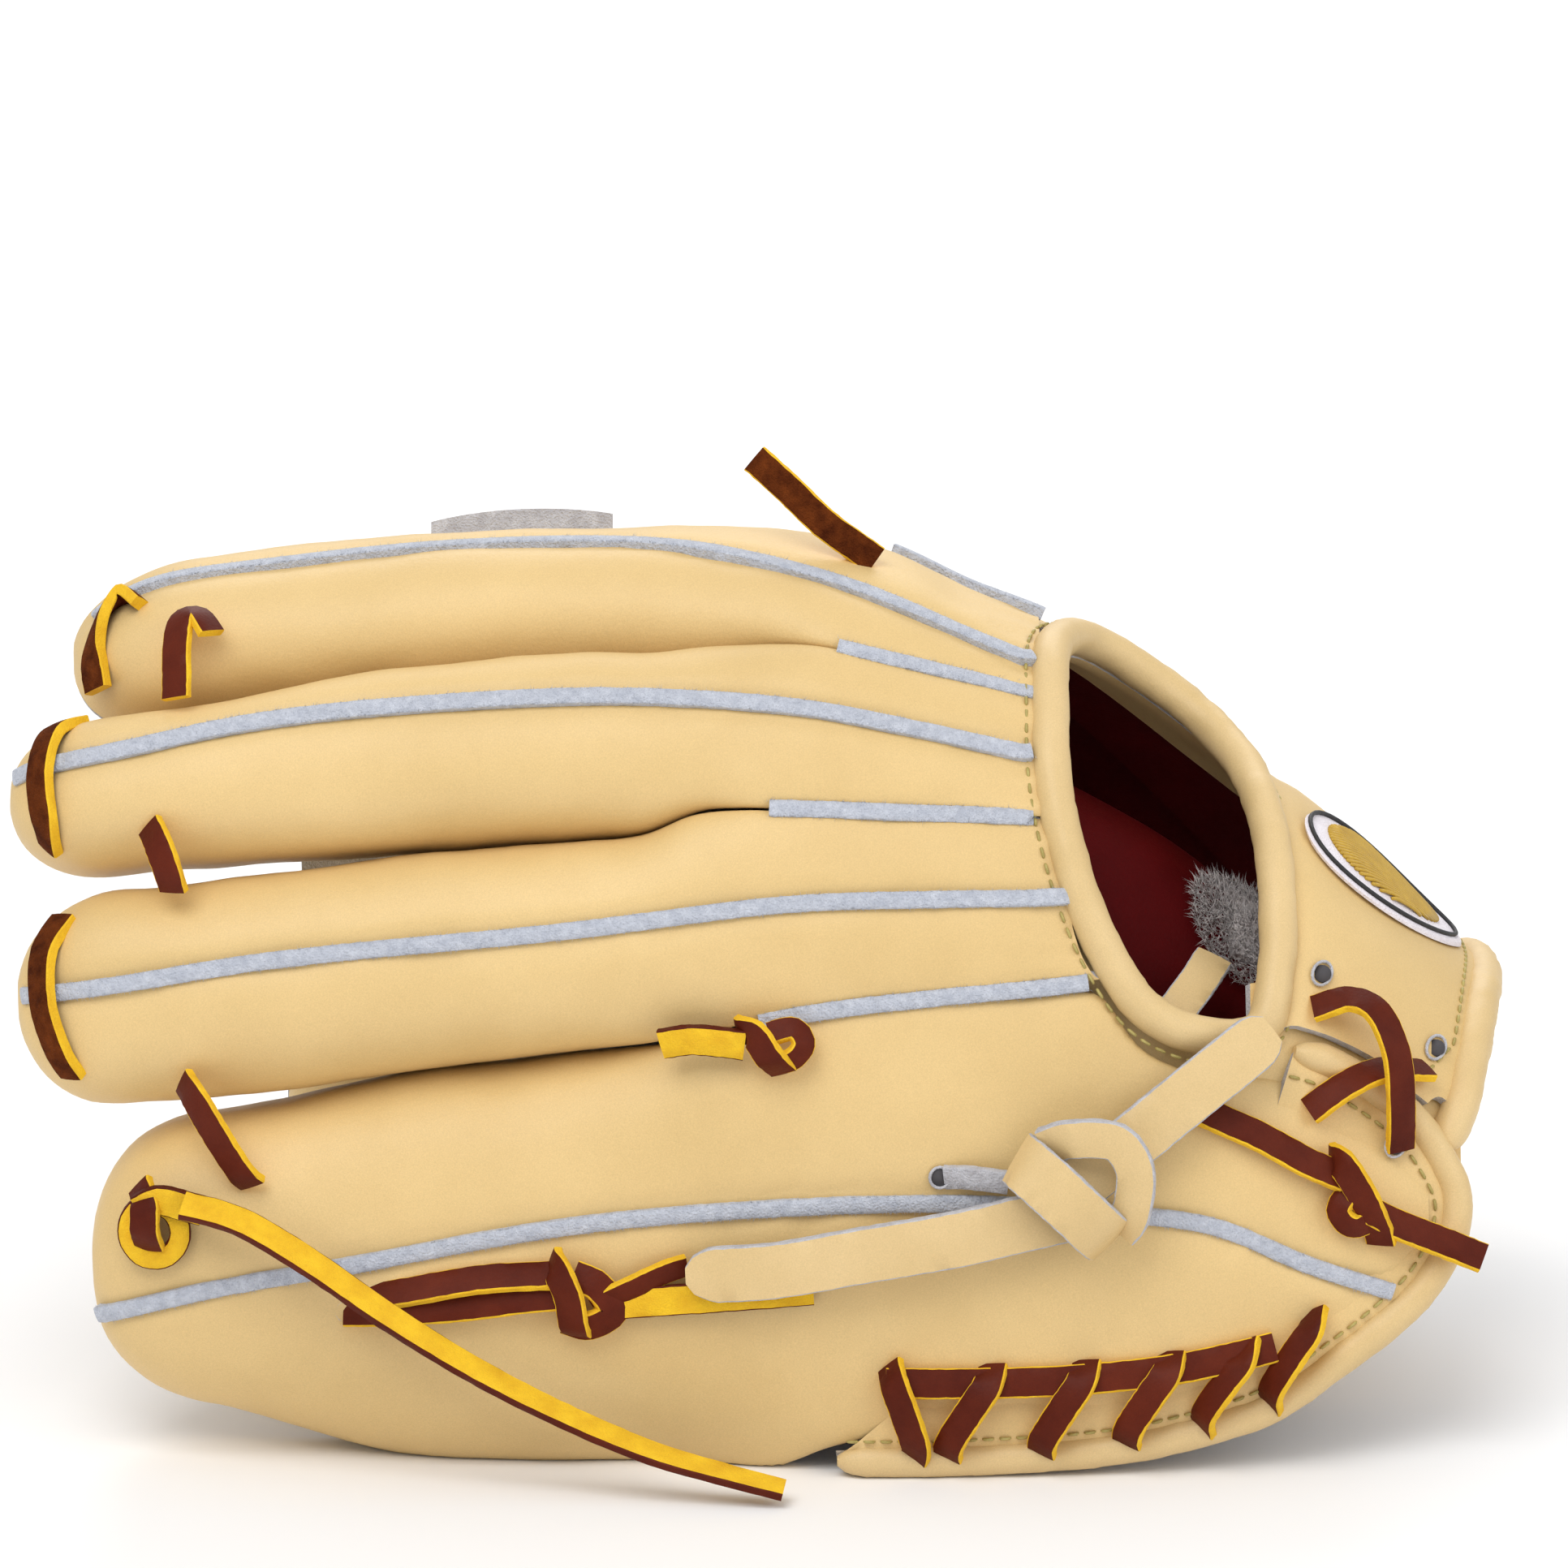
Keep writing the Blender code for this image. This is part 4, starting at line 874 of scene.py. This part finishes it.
strap_sheet("strap_panel", 0.0, 0.985, STRAP_LEVEL, HIDE_THICK, STRAP_ROLL - 1, None,
            ("wrist_strap",), 31.0)
under_flap = []
for x in np.linspace(101, 145, 26):
    low, high = float(along(PINKY_HIGH, x)) - 5, float(along(HEEL_EDGE[:5], x)) + 14
    under_flap.append(arch(x, np.linspace(low, high, 14), 11.0))
cut_leather("strap_under_flap", np.array(under_flap), "root")
strap_sheet("strap_fleece_pad", 0.05, 0.94, 10.2, 4.2, STRAP_ROLL + 3,
            (fleece_wool, fleece_wool, fleece_wool), ("strap_fleece",), 32.0, start=0.06)
thumb_end = []
for x in np.linspace(107, 143, 16):
    low = fold(min(x, 128)) - 11 - 0.9 * max(x - 128, 0)
    high = float(total(x)) - float(along(THUMB_HIGH, x)) + 4
    thumb_end.append(arch(x, np.linspace(low, max(high, low + 6), 16), STRAP_LEVEL + 0.5))
cut_leather("strap_thumb_end", np.array(thumb_end), "fold")
strap_roll_route = []
for b in np.linspace(0.05, 1, 12):
    x, s = strap_place(1, b, 0)
    strap_roll_route.append((x - 2.5, s, 12.6))
rolled_edge("strap_roll", strap_roll_route, 100, STRAP_ROLL, ("strap_edge_roll",), seed=23.0)
stitched_line("strap_stitches", [strap_place(1, b, 6.2) for b in np.linspace(0.06, 0.98, 60)], 14.6)
tuft_roots, tuft_aims = [], []
tuft_chance = np.random.default_rng(33)
for a, b in tuft_chance.random((2600, 2)):
    edge_a = 0.98 if a > 0.5 else 0.04 + 0.5 * a
    x, s = strap_place(edge_a, 0.06 + 0.87 * b, STRAP_ROLL + 3)
    level = 6.0 + 4.0 * tuft_chance.random()
    tuft_roots.append(arch(x, s, level))
    tuft_aims.append(unit(arch(x + (3 if a > 0.5 else -3), s, level - 1.5) - tuft_roots[-1]))
fibres("strap_fleece_tufts", tuft_roots, tuft_aims, "root", fleece_wool, 3.0, 0.09, 34, 0.7)


palm_sheet("fleece_hand_pad", np.linspace(99, 117, 10), lambda x: 112, lambda x: 140, 10.4, "root", (), 35.0,
           2.4, 30, (fleece_wool, fleece_wool, fleece_wool), 1)
pad_roots, pad_aims = [], []
for across_pad, along_pad in tuft_chance.random((5200, 2)):
    reach, turn = math.sqrt(across_pad), 2 * math.pi * along_pad
    x, s = 107 + 17 * reach * math.cos(turn), 126 + 25 * reach * math.sin(turn)
    level = float(along(PALM_FACE, x)) + 10.2
    pad_roots.append(arch(x, s, level))
    pad_aims.append(outward(x, s) + (unit(arch(x - 4, s, level) - pad_roots[-1])) * 0.8)
fibres("fleece_hand_tufts", pad_roots, pad_aims, "root", fleece_wool, 3.4, 0.12, 36, 0.8)


# The patch on the strap: white felt, a dark corded outline and a plain gold satin-stitched oval.
PATCH_CENTRE = (130.5, -4.5)
PATCH_HALF = (20.0, 10.5)
PATCH_TURN = math.radians(38)
white_felt = hide_finish("white_felt", (0.88, 0.83, 0.88), (0.78, 0.72, 0.78), (0.9, 1.0), 0.9, 0.0005,
                         pebble=1700.0, tone=200.0, sheen=0.3)
dark_cord = hide_finish("dark_cord", (0.02, 0.02, 0.022), (0.012, 0.012, 0.014), (0.5, 0.7), 0.5, 0.0003)
gold_thread = hide_finish("gold_thread", (0.62, 0.39, 0.035), (0.48, 0.28, 0.02), (0.32, 0.45), 0.5, 0.0002,
                          pebble=3000.0, tone=240.0)


def on_patch(along_it, across_it, t):
    x = PATCH_CENTRE[0] + along_it * math.cos(PATCH_TURN) - across_it * math.sin(PATCH_TURN)
    s = total(x) / 2 + PATCH_CENTRE[1] + along_it * math.sin(PATCH_TURN) + across_it * math.cos(PATCH_TURN)
    return arch(x, s, t)


def joined_rods(name, routes, radius, finish, sides=6, closed=False, body="root"):
    """Round rods along routes in metres, as one piece."""
    places, faces = [], []
    for route in routes:
        first = len(places)
        way = directions(route, closed)
        side = unit(np.cross(way, np.tile((0.13, -0.61, 0.78), (len(route), 1))))
        up = np.cross(side, way)
        for k in range(len(route)):
            for j in range(sides):
                turn = 2 * math.pi * j / sides
                places.append(route[k] + radius * MM * (math.cos(turn) * side[k] + math.sin(turn) * up[k]))
        faces += [tuple(first + i for i in face) for face in tube_faces(len(route), sides, closed)]
    return new_piece(name, places, faces, (finish,), body, sharp=180)


felt_rings = [(0.3, 16.4), (0.7, 16.4), (0.97, 16.3), (1.0, 15.8), (1.0, 15.0), (0.5, 15.0)]
felt_turns = np.linspace(0, 2 * np.pi, 48, endpoint=False)
felt_points = np.concatenate([on_patch(PATCH_HALF[0] * r * np.cos(felt_turns), PATCH_HALF[1] * r
                                       * np.sin(felt_turns), t) for r, t in felt_rings])
new_piece("patch_felt", felt_points, tube_faces(len(felt_rings), 48), (white_felt,), "root",
          ("felt_patch",))
outline = on_patch(PATCH_HALF[0] * 0.93 * np.cos(felt_turns), PATCH_HALF[1] * 0.93 * np.sin(felt_turns), 16.8)
joined_rods("patch_outline", [outline], 0.5, dark_cord, closed=True)
satin = []
for across_at in np.arange(-7.2, 7.3, 0.62):
    reach = 13.6 * math.sqrt(max(1 - (across_at / 7.5) ** 2, 0.0)) + 0.2
    steps = np.linspace(-reach, reach, 9)
    satin.append(on_patch(steps, np.full(9, across_at), 16.7 + 0.7 * (1 - (steps / reach) ** 4)))
satin_piece = joined_rods("patch_satin", satin, 0.42, gold_thread)
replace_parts(satin_piece, "patch_embroidery")


# The tied laces: every short run of rawhide on the back. Each is tilted a little, so that its
# yellow cut edge shows beside its brown face.
def on_hide(route, count, tilt):
    spots = curve_points(route, count)
    points = arch(*spots.T)
    out = outward(spots[:, 0], spots[:, 1])
    side = unit(np.cross(directions(points), out))
    return points, out * math.cos(tilt) + side * math.sin(tilt)


def tied(name, route, stands_for=(), tilt=0.5, count=26, finishes=None, body="root", width=LACE_WIDTH,
         thick=LACE_THICK, seed=0.0, taper=None):
    points, ups = on_hide(route, count, tilt)
    return lace(name, points, ups, body, stands_for, width, thick, finishes, seed=seed, taper=taper)


FINGERS = {"pinky": (-138, lambda x: along(PINKY_LOW, x), pinky_high),
           "ring": (-153, between_lines(RING_PINKY, 1), between_lines(MIDDLE_RING, -1)),
           "middle": (-155, between_lines(MIDDLE_RING, 1), between_lines(INDEX_MIDDLE, -1)),
           "index": (-143, between_lines(INDEX_MIDDLE, 1), lambda x: along(INDEX_FAR, x))}


def skin(finger, x, s):
    """Height of a finger's back at (x, s), from its rounded tip to its crown."""
    tip, low, high = FINGERS[finger]
    size = float(tip_size(max(x, tip + 0.6), tip))
    middle, half = float(low(x) + high(x)) / 2, float(high(x) - low(x)) / 2 * size
    across = min(abs(s - middle) / half, 1.0)
    rise = math.sqrt(1 - across ** 2.5) ** 0.72
    return 2 + (FACE - 2) * size + (CROWN - FACE) * size * rise


def over_skin(finger, places, lifts):
    return [(x, s, max(skin(finger, x, s), 2.0) + lift) for (x, s), lift in zip(places, lifts)]


fuzzy = (brown_flesh, yellow_flesh, brown_grain)
tied("index_tip_loop", over_skin("index", [(-128, 172), (-132, 174), (-136, 171), (-138, 166), (-137, 160)],
                                 (0.2, 1.8, 2.0, 1.8, 0.4)), ("index_tip_lace",), 0.8, finishes=fuzzy, thick=2.4,
     seed=41.0)
tied("index_middle_tie", [(-113, 164, 15), (-116, 167, 16), (-119, 166, 16), (-120, 162, 15), (-120, 157, 13),
                          (-120, 153, 12)], ("index_middle_lace",), 0.5, seed=42.0)
tied("middle_tip_loop", over_skin("middle", [(-141, 151), (-146, 145), (-148, 137), (-147, 129), (-146, 125)],
                                  (0.3, 1.9, 2.2, 1.8, 0.3)), ("middle_tip_lace",), 0.8, finishes=fuzzy,
     thick=2.4, seed=43.0)
tied("middle_ring_tie", [(-125, 129, 12), (-123, 125, 15), (-121, 120, 15), (-120, 117, 13)],
     ("middle_ring_lace",), 0.5, seed=44.0)
tied("ring_tip_loop", over_skin("ring", [(-143, 111), (-147, 104), (-147, 94), (-144, 85), (-141, 80)],
                                (0.3, 1.9, 2.2, 1.8, 0.3)), ("ring_tip_lace",), 0.8, finishes=fuzzy, thick=2.4,
     seed=45.0)
tied("ring_pinky_tie", [(-118, 80, 12), (-115, 76, 16), (-110, 68, 16), (-106, 62, 15), (-104, 60, 13)],
     ("ring_pinky_lace",), 0.5, seed=46.0)

tip_turns = np.linspace(0, 2 * np.pi, 30, endpoint=False)
ring_spots = np.stack([-124.2 + 5.4 * np.cos(tip_turns), 50.2 + 5.6 * np.sin(tip_turns),
                       np.full(30, 15.6)], axis=1)
ring_points = arch(*ring_spots.T)
lace("pinky_tip_ring", ring_points, outward(ring_spots[:, 0], ring_spots[:, 1]), "root", width=4.4,
     thick=2.2, finishes=(yellow_flesh, brown_grain, brown_grain), closed=True, seed=47.0)
tied("pinky_tip_band", [(-127, 59, 14), (-126, 56, 18), (-126, 51, 19), (-125, 47, 16)],
     ("pinky_tip_knot",), 0.35, seed=48.0)
tied("pinky_tip_leader", [(-127, 55, 16), (-123, 57, 18), (-118, 56, 18), (-114, 55, 18)], (), 0.2,
     finishes=(yellow_flesh, brown_grain, brown_grain), seed=49.0)

tied("pinky_back_low_run", [(-85, 34, 13), (-77, 35, 16), (-63, 36, 16), (-50, 38, 17), (-41, 39, 17)],
     ("pinky_back_lace",), -0.35, seed=50.0)
tied("pinky_back_high_run", [(-81, 37, 14), (-72, 39, 16), (-57, 42, 17), (-42, 43, 17)], (), -0.8, seed=51.0)
tied("pinky_back_band", [(-42, 46, 16), (-41, 44, 20), (-39, 39, 20), (-38, 33, 19), (-37, 31, 16)],
     ("pinky_back_knot",), 0.4, seed=52.0)
tied("pinky_back_fold", [(-40, 34, 17), (-35, 33, 18), (-30, 36, 18), (-33, 41, 18), (-38, 43, 17)], (), 0.35,
     seed=53.0)
tied("pinky_back_spur", [(-34, 37, 17), (-26, 41, 18), (-19, 44, 17), (-15, 45, 16)], (), 0.35, width=5.0,
     seed=54.0)
tied("pinky_back_end", [(-34, 37, 17), (-20, 38, 17), (-6, 39, 17), (11, 40, 16)], ("pinky_back_tail",), 0.0,
     finishes=(yellow_flesh, brown_grain, brown_grain), seed=55.0)

tied("gap_knot_end", [(-20, 89, 15), (-13, 90, 17), (-3, 89, 17)], (), 0.3,
     finishes=(yellow_flesh, brown_grain, brown_grain), seed=56.0)
tied("gap_knot_band", [(-4, 92, 16), (-1, 91, 19), (2, 87, 20), (5, 84, 16)], ("gap_knot",), 0.45, seed=57.0)
tied("gap_knot_loop", [(1, 86, 16), (6, 86, 18), (9, 89, 18), (7, 92, 17), (2, 91, 17)], (), 0.5, width=5.0,
     seed=58.0)
tied("top_lace_run", [(24, 184, 15), (14, 187, 20), (6, 190, 26), (-1, 193, 31)], ("top_lace_end",), -1.1,
     finishes=(brown_flesh, yellow_flesh, yellow_flesh), seed=59.0)


# The heel lacing: one lace whipped over the heel's edge, each wrap across a lengthwise run.
# Both are flat brown rawhide with a yellow cut edge, and the wraps' ends go down into the leather.
WRAPS = 6
WRAP_LEAN = 9.0                             # each wrap's foot lies this far toward the fingers
WRAP_REACH = [(27, 20.5), (85, 18), (115, 13.5)]        # how far above the roll a wrap begins
heel_side = list(reversed(HEEL_EDGE[5:]))
run_stations = (26, 46, 66, 86, 106)
tied("heel_run", [(x, along(heel_side, x) + 0.85 * along(WRAP_REACH, x), 15.5) for x in run_stations],
     ("heel_whip_lace",), -0.35, count=60, seed=60.0)
for k in range(WRAPS):
    top_x = 27 + 22 * k - 0.9 * k * k       # the wraps close up toward the wrist
    foot_x = top_x + (5 if k == 0 else -WRAP_LEAN)
    top_s = along(heel_side, top_x) + along(WRAP_REACH, top_x)
    foot_s = along(heel_side, foot_x) + 5
    route = [(top_x, top_s, 13.6), (0.85 * top_x + 0.15 * foot_x, top_s - 3, 17.4),
             ((top_x + foot_x) / 2, (top_s + foot_s) / 2, 18.2), (foot_x, foot_s, 17),
             (foot_x, foot_s - 4.5, 13)]
    tied("heel_wrap_%d" % (k + 1), route, (), 0.75 if k > 3 else 0.4, seed=61.0 + k)


# The laces of the wrist: two that cross at the hand hole, and one knotted beside the strap.
tied("cross_run_under", [(113, 70, 14), (120, 73, 17), (128, 74, 18), (138, 72, 16)],
     ("cross_lace_under",), -0.4, seed=70.0)
tied("cross_run_over", [(114, 88, 15), (121, 87, 20), (127, 82, 25), (131, 74, 25), (132, 66, 20),
                         (132, 60, 15)], ("cross_lace_over",), -0.4, count=40, seed=71.0)
tied("wrist_run", [(88, 74, 14), (102, 67, 16), (112, 61, 17), (120, 57, 17)], ("wrist_lace",), -0.4,
     seed=72.0)
tied("wrist_knot_band", [(118, 61, 15), (120, 59, 20), (124, 53, 21), (127, 47, 18), (128, 44, 16)],
     ("wrist_lace_knot",), 0.4, seed=73.0)
tied("wrist_knot_loop", [(125, 55, 17), (121, 54, 18), (119, 51, 18), (122, 48, 18), (127, 49, 17)], (), 0.45,
     width=5.2, seed=74.0)
tied("wrist_run_end", [(124, 51, 17), (131, 47, 18), (139, 43, 19), (149, 38, 21)],
     ("wrist_lace_tail",), -0.35, seed=75.0)


# The pull strap: a flat tan strap drawn through its own sliding knot, its tail lying free.
TAN_WIDTH = 11.5
TAN_THICK = 2.6
PULL_END = (51, 51)                         # the (x, s) of the pull strap's knotted end
PULL_WAY = (0.846, 0.533)                   # the strap's direction back from there, in (x, s)
tan = (edge_hide, raw_edge, flesh_side)
pull_from, pull_to = arch(105, 85, 22), arch(*PULL_END, 24.5)
pull_way = unit(pull_to - pull_from)
pull_face = unit(np.cross(np.cross(pull_way, outward(73, 68)), pull_way))
pull_points = pull_from + (pull_to - pull_from) * np.linspace(0, 0.8, 30)[:, None]
lace("pull_strap_run", pull_points, np.tile(pull_face, (30, 1)), "root", ("pull_strap",),
     TAN_WIDTH, TAN_THICK, tan, taper=lambda share: 0.55 + 0.45 * math.sqrt(min(share / 0.08, 1.0)), seed=80.0)


def on_strap(back, beside, t):
    """A place by its distances back along the pull strap from its end, and beside its middle."""
    return (PULL_END[0] + PULL_WAY[0] * back - PULL_WAY[1] * beside,
            PULL_END[1] + PULL_WAY[1] * back + PULL_WAY[0] * beside, t)


wrap_route = [on_strap(*place) for place in ((10, 11.5, 20.5), (11, 9.5, 25.6), (13, 4, 28.4), (15, -3, 28.6),
                                             (16.5, -9.5, 25.4), (17, -11.5, 20.5))]
tied("pull_knot_wrap", wrap_route, ("pull_strap_knot",), 0.0, count=34, finishes=tan, body="strap_knot",
     width=TAN_WIDTH, thick=2.4, seed=81.0)
loop_route = [on_strap(*place) for place in ((16, 11, 22.5), (21, 9.5, 26.4), (28, 4, 27.8), (28.5, -3, 27.8),
                                             (23.5, -9.5, 25.4), (20, -11.5, 21.5))]
tied("pull_knot_loop", loop_route, (), 0.2, count=34, finishes=tan, body="strap_knot", width=8.0, thick=2.2,
     seed=82.0)
tied("pull_strap_end", [(63, 55, 19), (52, 53, 20), (41, 51, 21), (21, 48, 21), (2, 45, 21), (-15, 44, 20)],
     ("pull_strap_tail",), 0.0, count=50, finishes=tan, body="strap_knot", width=TAN_WIDTH, thick=TAN_THICK,
     seed=83.0, taper=lambda share: 0.3 + 0.7 * math.sqrt(min((1 - share) / 0.07, 1.0)))
tied("pull_slot_tongue", [(38, 62, 14), (43, 62, 15.5), (51, 61, 16.5)], (), 0.3,
     finishes=(raw_edge, raw_edge, raw_edge), width=5.0, thick=1.8, seed=85.0)
tied("inner_loop_strap", [(76, 80, -8), (80, 86, -3), (86, 93, -1), (91, 100, -4), (94, 106, -9)],
     ("inner_finger_loop",), 0.0, count=40, finishes=tan, width=8.0, thick=2.4, seed=84.0)


# The eyelets: punched holes that the laces pass through, each with a soft grey rim and a near-black rod of
# painted shade down in the hole.
EYELETS = [(116, 94, 15), (140, 76, 15), (131, 61, 15), (-85, 34, 13.5), (37, 62, 14.5)]
rims, hole_shades = [], []
for x, s, t in EYELETS:
    turns = np.linspace(0, 2 * np.pi, 16, endpoint=False)
    rims.append(arch(x + 2.1 * np.cos(turns), s + 2.1 * np.sin(turns), t))
    hole_shades.append(np.array([arch(x, s, t + 0.05), arch(x, s, t - 1.5)]))
joined_rods("eyelet_rims", rims, 0.35, raw_edge, closed=True)
joined_rods("eyelet_hole_shades", hole_shades, 1.9, hole_shadow, sides=14)


# The web: two hide halves that meet along the fold between thumb and index finger, each whipped
# to its finger, and laced to each other where they meet.
WEB_OUT = -6.0
WEB_THICK = 3.0


def web_half(name, low, high, first, stands_for):
    part = np.linspace(0, 1, 16)
    grid = np.array([arch(x, low(x) + (high(x) - low(x)) * part, WEB_OUT)
                     for x in np.linspace(first, -2, 46)])
    cut_leather(name, grid, "fold", stands_for, WEB_THICK)


web_half("web_index_hide", lambda x: 219, lambda x: fold(x) - 1.0, -116, ("web_index_half",))
web_half("web_thumb_hide", lambda x: fold(x) + 1.0, lambda x: float(total(x)) - 73.5, -98,
         ("web_thumb_half",))
web_shares = np.linspace(0, 1, 90)
for name, stations, line, stands_for in (
        ("web_index_whip", (-108, -8), lambda x: 224.5, "web_index_lace"),
        ("web_thumb_whip", (-90, -8), lambda x: float(total(x)) - 79.5, "web_thumb_lace")):
    route = [(x, line(x) + 3.0 * math.sin(x * 0.42), WEB_OUT + 1.6)
             for x in stations[0] + (stations[1] - stations[0]) * web_shares]
    tied(name, route, (stands_for,), 0.0, count=160, body="fold", width=4.6)
tied("web_centre_lacing", [(x, fold(x) + 5.5 * math.sin(x * 0.36), WEB_OUT + 2.6)
                           for x in np.linspace(-92, -8, 90)], (), 0.0, count=180, body="fold", width=4.6)


# The web's raw upper edge: a strip of unfinished hide that stands out behind the index finger,
# rooted in the leather along the finger's far side.
FLAP_LINE = 209.0
FLAP_FROM, FLAP_TO = -69, -31
FLAP_LEVEL = 15.0
FLAP_RISE = 2.4
flap = []
for x in np.linspace(FLAP_FROM, FLAP_TO, 30):
    share = (x - FLAP_FROM) / (FLAP_TO - FLAP_FROM)
    root = skin("index", x, FLAP_LINE) - 1.0
    top = FLAP_LEVEL + FLAP_RISE * math.sin(math.pi * (0.06 + 0.88 * share)) ** 0.6
    flap.append(arch(x, FLAP_LINE, np.linspace(root, top, 6)))
cut_leather("web_raw_flap", np.array(flap), "root", finishes=(raw_edge, raw_edge, raw_edge))
